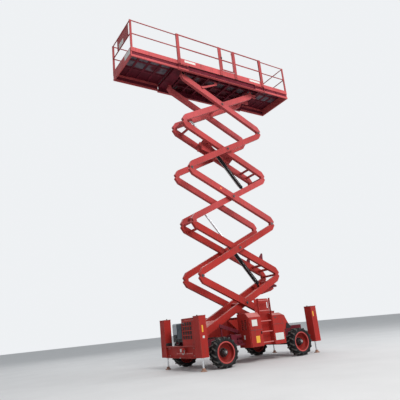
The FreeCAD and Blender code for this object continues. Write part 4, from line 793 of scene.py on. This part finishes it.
        def low_eye(bm):
            """Hose eye beside the deep bracket of the lowest inner arms."""
            for y in (-0.160, 0.160):
                add_prism(bm, [(1.480, 2.330), (1.700, 2.330), (1.868, 2.262), (1.878, 2.214),
                               (1.810, 2.196), (1.480, 2.180)], y - 0.007, y + 0.007)
                add_rod(bm, (1.850, y - 0.014, 2.232), (1.850, y + 0.014, 2.232), 0.024, 24)

        # Both eyes take the underside red, painted shade
        piece("arm_eye_high", "inner_2", "under", top_eye, bevel=0.002)
        piece("arm_eye_low", "inner_1", "under", low_eye, bevel=0.002)
        return {"FINISHED"}


class LIFT_OT_cylinders(bpy.types.Operator):
    """Glands, rings, ports and pipes of the lift cylinders"""

    bl_idname = "lift.cylinders"
    bl_label = "Cylinder fittings"

    def execute(self, context):
        # Foot, waist and gland rings, as (radius, distance from the base pin)
        rings = (((0.062, 0.095), (0.068, 0.100), (0.068, 0.125), (0.062, 0.130)),
                 ((0.062, 1.715), (0.066, 1.718), (0.066, 1.738), (0.062, 1.741)),
                 ((0.036, 1.799), (0.058, 1.799), (0.058, 1.806), (0.052, 1.812), (0.036, 1.812)))
        line = ((0.160, 0.058, 0.030), (0.200, 0.078, 0.034), (0.300, 0.074, 0.030), (0.800, 0.072, 0.030),
                (1.000, 0.078, 0.026))
        pipe = ((0.19, 0.0, 0.080), (0.30, 0.0, 0.076), (0.90, 0.0, 0.074), (1.55, 0.0, 0.076),
                (1.69, 0.0, 0.082))
        slides = {joint["name"]: Vector(joint["axis"]) for joint in frame["joints"]}
        for word in ("low", "high"):
            along = slides[f"{word}_rod_slide"]
            turn = Matrix.Rotation(-math.atan2(along.z, along.x), 4, "Y")
            spin = Matrix.Translation(PINS[f"{word}_barrel_pin"]) @ turn
            body = f"{word}_barrel"

            def barrel_rings(bm):
                for ring in rings:
                    add_lathe(bm, ring, spin @ Matrix.Rotation(QUARTER, 4, "Y"), 36)

            def ports(bm):
                for x in (0.16, 1.69):
                    add_rod(bm, (x, 0, 0.055), (x, 0, 0.084), 0.017, 6, spin)
                    add_rod(bm, (x, 0, 0.080), (x + 0.030, 0, 0.080), 0.010, 12, spin)
                for spot in circle(8, 0.061, math.pi / 8):
                    add_rod(bm, (1.799, *spot), (1.807, *spot), 0.006, 6, spin)

            piece(f"barrel_rings_{word}", body, "black", barrel_rings)
            piece(f"barrel_ports_{word}", body, "steel", ports, bevel=0.001)
            for side in SIDES:
                hose(f"barrel_line_{word}_{side + 1}", body, [(x, side * y, z) for x, y, z in line], 0.006,
                     "steel", spin)
            hose(f"barrel_pipe_{word}", body, pipe, 0.007, "steel", spin)
        return {"FINISHED"}


class LIFT_OT_jacks(bpy.types.Operator):
    """Feet, collars, reflectors and plates of the levelling jacks"""

    bl_idname = "lift.jacks"
    bl_label = "Jack fittings"

    def execute(self, context):
        for name, middle in JACKS.items():
            x, y = middle.xy
            out = side_of(middle)
            face = y + out * JACK_FACE
            back = y - out * JACK_FACE
            left = x < 0
            bolt_seat = JACK_CAP + 0.0005
            stand = Matrix.Translation((x, y, 0.0))

            def foot(bm):
                """Dished foot with a socket for the leg, and four bolts."""
                add_lathe(bm, [(0.0005, 0.0), (0.0862, 0.0), (0.0862, 0.017), (0.080, 0.019), (0.049, 0.036),
                               (0.043, 0.081), (0.0292, 0.0875), (0.0285, 0.0875), (0.0285, 0.070),
                               (0.0005, 0.070)], stand, 40)
                for spot in circle(4, 0.068, math.pi / 4):
                    add_rod(bm, (*spot, 0.016), (*spot, 0.028), 0.008, 6, stand)

            def fitting(bm):
                """Weld-on strap at the back and the fitting that feeds the jack."""
                add_block(bm, (x - 0.100, back, 0.680), (x + 0.100, back - out * 0.006, 0.760))
                port = y - out * 0.10
                add_rod(bm, (x, port, bolt_seat), (x, port, bolt_seat + 0.028), 0.014, 6)
                add_rod(bm, (x, port, bolt_seat + 0.020), (x, back, bolt_seat + 0.020), 0.009, 12)

            piece(f"foot_{name}", f"jack_{name}", "rust", foot, bevel=0.0015)
            turned(f"wiper_{name}", "chassis", "dark_steel", [
                (0.0285, 0.362), (0.050, 0.362), (0.054, 0.368), (0.054, 0.384), (0.0285, 0.384)], stand, 32)
            bolts(f"cap_bolts_{name}", "chassis", "steel", [
                ((x + dx, y + dy, bolt_seat), (0, 0, 1))
                for dx, dy in product((-0.095, 0.095), (-0.125, 0.125))], 0.009, 0.011)
            plates(f"cap_sheet_{name}", "chassis", "brown_top", [
                ((x - 0.120, y - 0.150, JACK_CAP), (x + 0.120, y + 0.150, JACK_CAP + 0.0035))])
            # The reflector's middle from the column's, and its lower and upper edge
            shift, low, high = (-0.019, 1.005, 1.185) if left else (-0.048, 1.120, 1.280)
            plates(f"reflector_{name}", "chassis", "yellow", [
                ((x + shift - 0.022, face, low), (x + shift + 0.022, face + out * 0.004, high))], 0.0015)
            if left:
                plates(f"jack_plate_{name}", "chassis", "white", [
                    ((x - 0.035, face, 0.850), (x + 0.030, face + out * 0.003, 0.910))])
            piece(f"jack_fitting_{name}", "chassis", "dark_steel", fitting, bevel=0.0015)
        return {"FINISHED"}


class LIFT_OT_chassis(bpy.types.Operator):
    """End beam strips, tow shackle, bolts and plates of the chassis"""

    bl_idname = "lift.chassis"
    bl_label = "Chassis fittings"

    def execute(self, context):
        beam_top, cap_top = 0.6602, 0.664
        web = LEFT_BEAM_FACE + 0.0605
        # Pale top plates of the end beams, a painted highlight of the light on their tops: left of the engine
        # housing, beside it, and right
        plates("beam_tops", "chassis", "pale", [
            ((x0, y0, beam_top), (x1, y1, cap_top))
            for x0, x1, y0, y1 in ((-2.020, -1.9915, -0.855, -0.138), (-2.020, -1.802, -0.138, 0.855),
                                   (2.289, 2.507, -0.855, 0.855))], 0.0015)
        # Pale guard strip in the left beam's channel, broken at the tow lug, and its clamps
        plates("beam_strip", "chassis", "pale", [
            *(((LEFT_BEAM_FACE + 0.046, start, 0.450), (web, end, 0.474))
              for start, end in ((-0.62, -0.275), (-0.225, 0.28))),
            *(((LEFT_BEAM_FACE + 0.042, y - 0.02, 0.440), (web, y + 0.02, 0.484))
              for y in (-0.60, -0.30, -0.20, 0.26))], 0.003)
        shackle_x, shackle_y = -2.058, -0.250
        # One leg of the shackle's bow: offsets along and across, and level
        bow = ((0.0, 0.042, 0.552), (-0.002, 0.056, 0.510), (-0.010, 0.042, 0.462))
        hose("tow_shackle", "chassis", [
            *((shackle_x + x, shackle_y - y, z) for x, y, z in bow),
            (shackle_x - 0.014, shackle_y, 0.446),
            *((shackle_x + x, shackle_y + y, z) for x, y, z in reversed(bow))], 0.0115, "steel")

        rods("shackle_pin", "chassis", "steel", [
            ((shackle_x, start, 0.545), (shackle_x, end, 0.545), radius, sides)
            for start, end, radius, sides in ((-0.318, -0.182, 0.0125, 18), (-0.324, -0.310, 0.021, 6))],
            0.0015)
        plates("beam_plate", "chassis", "white", [
            ((LEFT_BEAM_FACE - 0.003, -0.02, 0.3405), (LEFT_BEAM_FACE + 0.0001, 0.06, 0.3535)),
            ((LEFT_BEAM_FACE + 0.057, 0.00, 0.500), (web, 0.10, 0.590))])
        bolts("beam_bolts", "chassis", "steel", [
            ((x - out * 0.058, y, z), (out, 0, 0))
            for x, out in ((LEFT_BEAM_FACE, -1), (RIGHT_BEAM_FACE, 1))
            for y, z in product((-0.80, -0.70, 0.70, 0.80), (0.40, 0.60))], 0.013, 0.010)
        bolts("rail_bolts", "chassis", "dark_steel", [
            ((x, out * 0.600, z), (0, out, 0)) for out, x, z in product(
                SIDES, (-1.404, -1.274, -1.064, -0.934, 0.215, 2.062, 2.192), (0.56, 0.71))], 0.012, 0.009)
        return {"FINISHED"}


class LIFT_OT_engine(bpy.types.Operator):
    """Grille, seams, latches, pipes and hoses of the engine bay"""

    bl_idname = "lift.engine"
    bl_label = "Engine bay"

    def execute(self, context):
        low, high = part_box("engine_housing")
        face = low.x
        cylinder_rows = [-0.52 + 0.16 * row for row in range(4)]

        def grille_mesh(bm):
            """Wire mesh behind the openings of the grille."""
            wire, pitch = 0.0021, 0.0156
            for step in range(34):
                y = -0.692 + step * pitch
                add_rod(bm, (face + 0.010, y, 0.834), (face + 0.010, y, 1.312), wire, 6)
            for step in range(31):
                z = 0.838 + step * pitch
                add_rod(bm, (face + 0.013, -0.692, z), (face + 0.013, -0.176, z), wire, 6)

        def grille_rims(bm):
            """Pressed rim round each opening of the grille."""
            front, back, lip = face - 0.0035, face + 0.0001, 0.004
            for column, row in product(range(4), range(4)):
                y, z = -0.684 + 0.132 * column, 0.842 + 0.122 * row
                for edge in (y - lip, y + 0.104):
                    add_block(bm, (front, edge, z - lip), (back, edge + lip, z + 0.100))
                for edge in (z - lip, z + 0.096):
                    add_block(bm, (front, y - lip, edge), (back, y + 0.108, edge + lip))

        piece("grille_mesh", "chassis", "dark_steel", grille_mesh)
        # Black sheet behind the grille, painted shade for the dark inside of the housing
        plates("grille_shade_sheet", "chassis", "black_panel_and_shade", [
            ((face + 0.050, -0.700, 0.820), (face + 0.056, -0.165, 1.325))], 0.0)
        piece("grille_rims", "chassis", "body", grille_rims, bevel=0.0012)
        plates("housing_seams", "chassis", "pale", [
            ((low.x + 0.02, low.y - 0.003, 1.318), (high.x - 0.02, low.y + 0.0001, 1.328)),
            ((low.x - 0.003, low.y + 0.01, 1.345), (low.x + 0.0001, high.y - 0.01, 1.356)),
            ((low.x + 0.02, low.y + 0.02, high.z - 0.0001), (high.x - 0.02, high.y - 0.02, high.z + 0.004))],
            0.0015)

        def latches(bm):
            for y in (-0.80, -0.24):
                add_block(bm, (face - 0.014, y - 0.018, 1.372), (face, y + 0.018, 1.400))
            spots = product((-0.820, -0.724, -0.164), (0.72, 1.10, 1.33))
            add_bolts(bm, [((face, y, z), (-1, 0, 0)) for y, z in spots], 0.008, 0.006)

        def engine_fittings(bm):
            """Rocker cover with its caps, and the pulleys at the engine's far end."""
            add_block(bm, (-1.862, -0.600, 1.2202), (-1.728, 0.045, 1.272))
            for y in cylinder_rows:
                add_rod(bm, (-1.795, y, 1.270), (-1.795, y, 1.290), 0.030, 16)
            # Radius, sides, then x and z of the middle and both ends along y
            for radius, sides, x, z, start, end in (
                    (0.060, 28, -1.800, 1.13, 0.061, 0.095), (0.092, 28, -1.800, 0.93, 0.5203, 0.560),
                    (0.030, 20, -1.800, 0.93, 0.560, 0.575), (0.034, 20, -1.705, 0.84, 0.5203, 0.548)):
                add_rod(bm, (x, start, z), (x, end, z), radius, sides)

        piece("housing_latches", "chassis", "black", latches, bevel=0.002)
        piece("engine_fittings", "chassis", "iron", engine_fittings, bevel=0.003)
        manifold_x, silencer_x = -1.690, -1.600
        # Manifold with its four branches, silencer, tail pipe and the pipe that joins them
        rods("exhaust", "chassis", "rust", [
            ((manifold_x, -0.60, 1.130), (manifold_x, 0.04, 1.130), 0.031, 18),
            *(((-1.722, y, 1.130), (manifold_x, y, 1.130), 0.024, 14) for y in cylinder_rows),
            ((silencer_x, -0.10, 1.100), (silencer_x, 0.42, 1.100), 0.052, 28),
            ((silencer_x, 0.16, 1.100), (silencer_x, 0.16, 1.372), 0.022, 20),
            ((manifold_x, 0.02, 1.130), (silencer_x, 0.02, 1.115), 0.020, 16)], 0.003)
        plates("exhaust_stays", "chassis", "dark_steel", [
            ((x0, y - 0.012, 0.980), (x1, y + 0.012, top))
            for y in (-0.06, 0.38) for x0, x1, top in ((-1.662, -1.594, 0.988), (-1.604, -1.596, 1.060))])
        # Thickness and points of each hose
        bundles = (
            (0.016, ((-1.935, 0.16, 0.90), (-1.990, 0.19, 0.86), (-1.985, 0.26, 0.78), (-1.940, 0.36, 0.80),
                     (-1.925, 0.40, 0.86))),
            (0.016, ((-1.931, 0.20, 1.00), (-1.975, 0.24, 0.96), (-1.975, 0.34, 0.90), (-1.925, 0.45, 0.92))),
            (0.012, ((-1.960, 0.12, 0.862), (-1.962, 0.12, 0.78), (-1.950, 0.16, 0.70), (-1.900, 0.30, 0.69),
                     (-1.860, 0.50, 0.72), (-1.840, 0.524, 0.80))),
            (0.026, ((-1.800, 0.176, 1.20), (-1.796, 0.120, 1.205), (-1.795, 0.070, 1.215),
                     (-1.795, 0.030, 1.245))),
            (0.011, ((-1.661, 0.30, 0.98), (-1.600, 0.26, 0.93), (-1.520, 0.20, 0.83), (-1.380, 0.12, 0.800),
                     (-1.100, 0.10, 0.790), (-0.700, 0.12, 0.786))),
            (0.011, ((-1.661, 0.24, 0.94), (-1.600, 0.20, 0.89), (-1.510, 0.15, 0.81), (-1.380, 0.08, 0.796),
                     (-1.100, 0.06, 0.788), (-0.700, 0.08, 0.784))),
        )
        for index, (radius, path) in enumerate(bundles):
            hose(f"engine_hose_{index}", "chassis", path, radius)
        # Fins and side bars on the face of the oil cooler
        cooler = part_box("air_filter")[0].x
        plates("cooler_fins", "chassis", "blue_black", [
            *(((cooler - 0.004, -0.100, 0.885 + 0.0165 * fin), (cooler + 0.0001, 0.140, 0.891 + 0.0165 * fin))
              for fin in range(24)),
            *(((cooler - 0.006, y, 0.862), (cooler + 0.0001, y + 0.010, 1.278))
              for y in (-0.112, 0.142))], 0.0)

        def cover(bm):
            """Grey moulded cover over the air filter, with a lipped lid."""
            outline = [(-1.962, 0.985), (-1.962, 1.270), (-1.935, 1.3005), (-1.700, 1.3005), (-1.672, 1.270),
                       (-1.672, 1.0402), (-1.932, 1.0402), (-1.932, 0.985)]
            add_prism(bm, outline, 0.172, 0.478)

        piece("filter_cover", "chassis", "cover", cover, bevel=0.010, segments=3)
        # Two bands round the cover and their two clips
        plates("filter_bands", "chassis", "steel", [
            *(((-1.966, 0.168, z), (-1.668, 0.482, z + 0.012)) for z in (1.070, 1.225)),
            *(((-1.972, y - 0.012, 1.195), (-1.9615, y + 0.012, 1.250)) for y in (0.230, 0.420))], 0.0015)
        return {"FINISHED"}


class LIFT_OT_boxes(bpy.types.Operator):
    """Lids, handles, seams and blank plates of the side boxes"""

    bl_idname = "lift.boxes"
    bl_label = "Side boxes"

    def execute(self, context):
        near, far = -BOX_FACE, BOX_FACE
        near_skin = (near - 0.0035, near - 0.0002)

        def lids(bm):
            """Paler sheet over the bevelled tops of the near boxes."""
            add_prism(bm, [(-1.131, 1.2655), (-1.001, 1.3915), (-0.604, 1.3915), (-0.604, 1.3945),
                           (-1.003, 1.3945), (-1.1335, 1.2660)], -0.313, 0.151, axis="x")
            add_prism(bm, [(-1.131, 1.2660), (-0.981, 1.3315), (-0.604, 1.3315), (-0.604, 1.3345),
                           (-0.982, 1.3345), (-1.1335, 1.2675)], 0.628, 1.042, axis="x")

        def handle(bm):
            add_block(bm, (0.085, DOOR_FACE - 0.010, 0.770), (0.125, DOOR_FACE + 0.0005, 0.850))
            add_rod(bm, (0.105, DOOR_FACE - 0.020, 0.795), (0.105, DOOR_FACE - 0.008, 0.795), 0.012, 18)
            add_block(bm, (0.098, DOOR_FACE - 0.024, 0.790), (0.112, DOOR_FACE - 0.016, 0.838))

        piece("box_lids", "chassis", "pale", lids, bevel=0.001)
        plates("door_seam", "cabinet_door", "dark_steel", [
            ((-0.286, DOOR_FACE - 0.003, 0.893), (0.140, DOOR_FACE + 0.0005, 0.903))], 0.0)
        piece("door_handle", "cabinet_door", "black", handle, bevel=0.003)
        for name, finish, x0, x1, z0, z1 in (("door_plate", "white", -0.215, -0.015, 1.010, 1.190),
                                             ("door_mark", "yellow", -0.120, 0.020, 0.540, 0.730)):
            plates(name, "cabinet_door", finish, [
                ((x0, DOOR_FACE - 0.002, z0), (x1, DOOR_FACE + 0.0002, z1))])
        plates("cabinet_plate", "chassis", "white", [
            ((LEFT_BOX_FACE - 0.0025, -0.905, 0.655), (LEFT_BOX_FACE + 0.0001, -0.840, 0.775))])

        def slot_lips(bm):
            """Pressed rims round the slots in the left face."""
            front, back = LEFT_BOX_FACE - 0.004, LEFT_BOX_FACE + 0.0001
            for row, column in product(range(5), range(2)):
                y, z = -1.020 + column * 0.150, 1.175 - row * 0.062
                for edge in (z - 0.007, z + 0.030):
                    add_block(bm, (front, y - 0.004, edge), (back, y + 0.094, edge + 0.007))
                for edge in (y - 0.006, y + 0.090):
                    add_block(bm, (front, edge, z - 0.004), (back, edge + 0.006, z + 0.034))

        piece("slot_lips", "chassis", "body", slot_lips, bevel=0.0012)
        # Black sheet behind the slots, painted shade inside the box
        plates("slot_shade_back", "chassis", "black_panel_and_shade", [
            ((-0.2755, -1.030, 0.915), (-0.2725, -0.770, 1.215))], 0.0)
        # Folded sheet that closes the gap between the far boxes: face, two side folds and bottom fold
        plates("far_panel", "chassis", "body", [
            ((x0, 0.905, 0.440), (x1, y1, z1)) for x0, x1, y1, z1 in (
                (0.1545, 0.6235, 0.911, 1.330), (0.1545, 0.1665, 0.945, 1.330),
                (0.6115, 0.6235, 0.945, 1.330), (0.1545, 0.6235, 0.960, 0.452))])

        def far_steps(bm):
            for z in (0.560, 0.860, 1.160):
                add_rod(bm, (0.1665, 0.985, z), (0.6115, 0.985, z), 0.014, 18)
                for x in (0.1665, 0.6055):
                    add_block(bm, (x, 0.911, z - 0.014), (x + 0.006, 0.985, z + 0.014))

        piece("far_steps", "chassis", "pale", far_steps, bevel=0.001)
        plates("tank_plate", "chassis", "white", [
            ((0.655, near_skin[0], 0.545), (0.985, near_skin[1], 0.745))])

        def tank_fittings(bm):
            add_block(bm, (0.630, near_skin[0], 1.000), (1.040, near_skin[1], 1.008))
            add_block(bm, (0.700, near - 0.006, 1.180), (0.760, near_skin[1], 1.215))
            spots = product((0.65, 1.02), (0.47, 0.96, 1.04, 1.24))
            add_bolts(bm, [((x, near, z), (0, -1, 0)) for x, z in spots], 0.008, 0.006)

        def tank_bracket(bm):
            """Dark bracket under the slanted end of the tank, over the wheel."""
            add_prism(bm, [(1.100, 0.845), (1.300, 0.845), (1.300, 0.900), (1.180, 1.010), (1.150, 1.010)],
                      near - 0.020, near_skin[1])

        def far_fittings(bm):
            for x0, x1 in ((-0.30, 0.14), (0.64, 1.03)):
                add_block(bm, (x0, far + 0.0002, 0.890), (x1, far + 0.0035, 0.898))
                add_block(bm, (x0 + 0.16, far + 0.0002, 1.100), (x0 + 0.26, far + 0.0120, 1.130))
                spots = product((x0 + 0.02, x1 - 0.02), (0.47, 0.86, 0.93, 1.24))
                add_bolts(bm, [((x, far, z), (0, 1, 0)) for x, z in spots], 0.008, 0.006)

        piece("tank_fittings", "chassis", "dark_steel", tank_fittings, bevel=0.001)
        piece("tank_bracket", "chassis", "black", tank_bracket, bevel=0.004)
        turned("tank_filler", "chassis", "black", [
            (0.0005, 0.0), (0.042, 0.0), (0.044, 0.006), (0.044, 0.026), (0.036, 0.034), (0.0005, 0.034)],
            Matrix.Translation((0.80, -0.85, 1.335)), 28, 0.001)
        piece("far_box_fittings", "chassis", "dark_steel", far_fittings, bevel=0.001)
        return {"FINISHED"}


class LIFT_OT_ladder(bpy.types.Operator):
    """Rung treads and bolts of the ladder"""

    bl_idname = "lift.ladder"
    bl_label = "Ladder fittings"

    def execute(self, context):
        def treads(bm):
            """Ribbed sleeves, worn pale."""
            core, rib_top, length = 0.0145, 0.0165, 0.400
            profile = [(core, 0.0)]
            for rib in range(13):
                start = 0.008 + rib * 0.030
                profile += [(core, start), (rib_top, start + 0.003), (rib_top, start + 0.016),
                            (core, start + 0.019)]
            profile += [(core, length), (core - 0.0005, length), (core - 0.0005, 0.0)]
            for rung in range(5):
                place = Matrix.Translation((0.190, -1.085, 0.525 + rung * 0.300))
                add_lathe(bm, profile, place @ Matrix.Rotation(QUARTER, 4, "Y"), 16)

        piece("ladder_treads", "chassis", "pale", treads)
        bolts("ladder_bolts", "chassis", "steel", [
            ((x, -1.100, z), (out, 0, 0)) for z in (0.62, 1.00, 1.30)
            for x, out in ((0.166, 1), (0.612, -1))], 0.009, 0.007)
        return {"FINISHED"}


class LIFT_OT_platform(bpy.types.Operator):
    """Plates, bolts, latch and controls of the platform"""

    bl_idname = "lift.platform"
    bl_label = "Platform fittings"

    def execute(self, context):
        plates("toe_plates", "platform", "white", [
            ((x0, -0.7918, TOP_Z + 0.255), (x1, -0.7888, TOP_Z + 0.335)) for x0, x1 in (
                (-1.40, -0.96), (1.46, 1.96))])
        # Thin sheets behind the side bars of each deck, painted shade in the darkened red for the recess
        for body, start, end in (("left_deck", -3.352, -1.700), ("right_deck", 2.150, 3.352)):
            plates(f"side_shade_sheets_{body}", body, "under", [
                ((start, y, TOP_Z + 0.005), (end, y + 0.003, TOP_Z + 0.140)) for y in (-0.7418, 0.7388)], 0.0)
        plates("end_plate", "left_deck", "white", [
            ((LEFT_END + 0.0200, -0.17, TOP_Z + 0.850), (LEFT_END + 0.0232, 0.20, TOP_Z + 1.035))])
        plates("toe_sign", "left_deck", "white", [
            ((LEFT_END - 0.0035, -0.700, TOP_Z + 0.060), (LEFT_END - 0.0005, -0.260, TOP_Z + 0.250))])

        def stay(bm):
            """Short stay that hangs from the framework beside the top arms."""
            root = TOP_Z - 0.0595
            add_prism(bm, [(-0.640, 9.170), (-0.560, 9.165), (0.050, 9.440), (0.050, root), (-0.070, root),
                           (-0.040, 9.458), (-0.590, 9.236), (-0.640, 9.236)], -0.575, -0.553)

        piece("platform_stay", "platform", "platform", stay, bevel=0.003)
        bolts("post_bolts", "platform", "dark_steel", [
            ((x, out * (POST_FACE - 0.0002), TOP_Z + z), (0, out, 0))
            for x, out, z in product((-1.615, 0.149, 0.809, 2.085), SIDES, (0.215, 0.330))], 0.012, 0.009)
        # Rubber buffers between the sliding rails and the fixed ones
        plates("rail_buffers", "platform", "hose", [
            ((x - 0.020, y - 0.006, TOP_Z + 0.380), (x + 0.020, y + 0.006, TOP_Z + 0.420))
            for x, y in product((-1.590, 2.060), (-0.781, 0.781))], 0.002)

        def latch(bm):
            add_block(bm, (0.184, -0.826, TOP_Z + 0.86), (0.244, -0.8165, TOP_Z + 0.93))
            add_rod(bm, (0.214, -0.842, TOP_Z + 0.895), (0.214, -0.824, TOP_Z + 0.895), 0.012, 16)

        piece("gate_latch", "gate", "dark_steel", latch, bevel=0.002)
        low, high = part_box("control_box")
        middle = (low.x + high.x) / 2
        panel = low.y - 0.004
        plates("control_panel", "platform", "black_panel_and_shade", [
            ((low.x + 0.015, panel, low.z + 0.020), (high.x - 0.015, low.y, high.z - 0.050))], 0.0015)

        def lever(bm):
            """Boot, stem and grip of the drive lever."""
            base = Vector((middle - 0.07, panel, low.z + 0.120))
            add_rod(bm, base, base + Vector((0, -0.018, 0)), 0.026, 24, end_radius=0.012)
            add_rod(bm, base + Vector((0, -0.012, 0)), base + Vector((0, -0.085, 0.020)), 0.008, 16)
            add_rod(bm, base + Vector((0, -0.070, 0.016)), base + Vector((0, -0.105, 0.026)), 0.017, 20)

        piece("control_lever", "platform", "hose", lever, bevel=0.0015)
        knob = Vector((middle + 0.085, panel, low.z + 0.155))
        rods("stop_knob", "platform", "rim", [
            (knob - Vector((0, start, 0)), knob - Vector((0, end, 0)), radius, sides)
            for start, end, radius, sides in ((0, 0.016, 0.012, 18), (0.014, 0.030, 0.021, 24))], 0.002)
        rods("control_buttons", "platform", "yellow", [
            ((x, panel, z), (x, panel - 0.009, z), 0.010, 18)
            for z in (low.z + 0.050, low.z + 0.090)
            for x in (middle - 0.005, middle + 0.033, middle + 0.071)])
        hose("control_cable", "platform", [
            (middle, high.y - 0.03, low.z + 0.002), (middle, high.y - 0.03, low.z - 0.10),
            (middle + 0.02, high.y - 0.01, low.z - 0.30), (middle + 0.05, 0.776, low.z - 0.45),
            (middle + 0.05, 0.776, TOP_Z + 0.36)], 0.009)
        # Short hose below the framework, where the far arm's hoses end
        hose("platform_hose", "platform", [
            (-1.10, 0.30, TOP_Z + 0.082), (-1.12, 0.30, TOP_Z - 0.02), (-1.20, 0.31, TOP_Z - 0.10),
            (-1.28, 0.34, TOP_Z - 0.05)], 0.010)
        return {"FINISHED"}


class LIFT_OT_stage(bpy.types.Operator):
    """Studio floor, soft light and the camera"""

    bl_idname = "lift.stage"
    bl_label = "Stage and camera"

    def execute(self, context):
        scene = context.scene
        scene.view_settings.view_transform = "Standard"
        self.lay_floor(scene)
        self.light_world(scene)
        # Name, place, level of the point it is aimed at, power and colour
        for name, place, level, power, colour in (
                ("key_light", (-3.0, -16.5, 14.0), 5.0, 2700.0, (1.0, 0.98, 0.95)),
                ("fill_light", (13.0, -9.0, 8.0), 5.0, 900.0, (0.95, 0.97, 1.0)),
                ("back_light", (2.0, 14.0, 14.0), 6.0, 800.0, (1.0, 1.0, 1.0))):
            light = bpy.data.lights.new(name, "AREA")
            light.shape = "DISK"
            light.size = 9.0
            light.energy = power
            light.color = colour
            made = bpy.data.objects.new(name, light)
            scene.collection.objects.link(made)
            aim = Vector((0.0, 0.0, level)) - Vector(place)
            made.matrix_world = Matrix.Translation(place) @ aim.to_track_quat("-Z", "Y").to_matrix().to_4x4()
        self.set_camera(scene)
        return {"FINISHED"}

    def lay_floor(self, scene):
        mesh = bpy.data.meshes.new("studio_floor")
        bm = bmesh.new()
        bmesh.ops.create_grid(bm, x_segments=1, y_segments=1, size=settings().floor_size / 2)
        bm.to_mesh(mesh)
        bm.free()
        floor = bpy.data.objects.new("studio_floor", mesh)
        scene.collection.objects.link(floor)
        tree = Tree("Studio floor")
        grain = tree.band(tree.noise(0.8, 4.0), 0.3, 0.7)
        mesh.materials.append(tree.finish(tree.blend(grain, (0.60, 0.60, 0.60), (0.64, 0.64, 0.64)), 0.9))

    def light_world(self, scene):
        """A soft sky that lights the machine, and a paler one that the camera and gloss see."""
        world = scene.world or bpy.data.worlds.new("Studio")
        scene.world = world
        world.use_nodes = True
        nodes, links = world.node_tree.nodes, world.node_tree.links
        nodes.clear()
        either = nodes.new("ShaderNodeMath")
        either.operation = "MAXIMUM"
        mix = nodes.new("ShaderNodeMixShader")
        rays = nodes.new("ShaderNodeLightPath").outputs
        links.new(rays["Is Camera Ray"], either.inputs[0])
        links.new(rays["Is Glossy Ray"], either.inputs[1])
        links.new(either.outputs[0], mix.inputs[0])
        for socket, colour, strength in (
                (1, (0.90, 0.95, 1.0, 1.0), 0.52), (2, (0.86, 0.88, 0.90, 1.0), 1.0)):
            sky = nodes.new("ShaderNodeBackground")
            sky.inputs["Color"].default_value = colour
            sky.inputs["Strength"].default_value = strength
            links.new(sky.outputs[0], mix.inputs[socket])
        links.new(mix.outputs[0], nodes.new("ShaderNodeOutputWorld").inputs[0])

    def set_camera(self, scene):
        heading, rise, roll = settings().camera_turn
        forward = Vector((math.sin(heading) * math.cos(rise), math.cos(heading) * math.cos(rise),
                          math.sin(rise)))
        right = Vector((math.cos(heading), -math.sin(heading), 0.0))
        up = right.cross(forward)
        right_rolled = math.cos(roll) * right + math.sin(roll) * up
        up_rolled = math.cos(roll) * up - math.sin(roll) * right
        lens = bpy.data.cameras.new("photo_camera")
        lens.lens = settings().camera_lens
        lens.sensor_width = 36.0
        lens.sensor_fit = "HORIZONTAL"
        lens.clip_end = 300.0
        camera = bpy.data.objects.new("photo_camera", lens)
        scene.collection.objects.link(camera)
        turn = Matrix((right_rolled, up_rolled, -forward)).transposed().to_4x4()
        camera.matrix_world = Matrix.Translation(settings().camera_place) @ turn
        scene.camera = camera


class LIFT_PT_panel(bpy.types.Panel):
    """Settings and steps of the scissor lift's looks"""

    bl_idname = "LIFT_PT_panel"
    bl_label = "Scissor Lift"
    bl_space_type = "VIEW_3D"
    bl_region_type = "UI"
    bl_category = "Scissor Lift"

    def draw(self, context):
        column = self.layout.column()
        for name in LiftSettings.__annotations__:
            column.prop(context.scene.lift_settings, name)
        for operator in OPERATORS:
            column.operator(operator.bl_idname)


OPERATORS = (LIFT_OT_nodes, LIFT_OT_wheels, LIFT_OT_pins, LIFT_OT_arms, LIFT_OT_cylinders, LIFT_OT_jacks,
             LIFT_OT_chassis, LIFT_OT_engine, LIFT_OT_boxes, LIFT_OT_ladder, LIFT_OT_platform, LIFT_OT_stage)
CLASSES = (LiftSettings, *OPERATORS, LIFT_PT_panel)


def register():
    for made in CLASSES:
        bpy.utils.register_class(made)
    bpy.types.Scene.lift_settings = bpy.props.PointerProperty(type=LiftSettings)


def unregister():
    del bpy.types.Scene.lift_settings
    for made in reversed(CLASSES):
        bpy.utils.unregister_class(made)


def main():
    register()
    for operator in OPERATORS:
        group, name = operator.bl_idname.split(".")
        getattr(getattr(bpy.ops, group), name)()


if __name__ == "__main__":
    main()
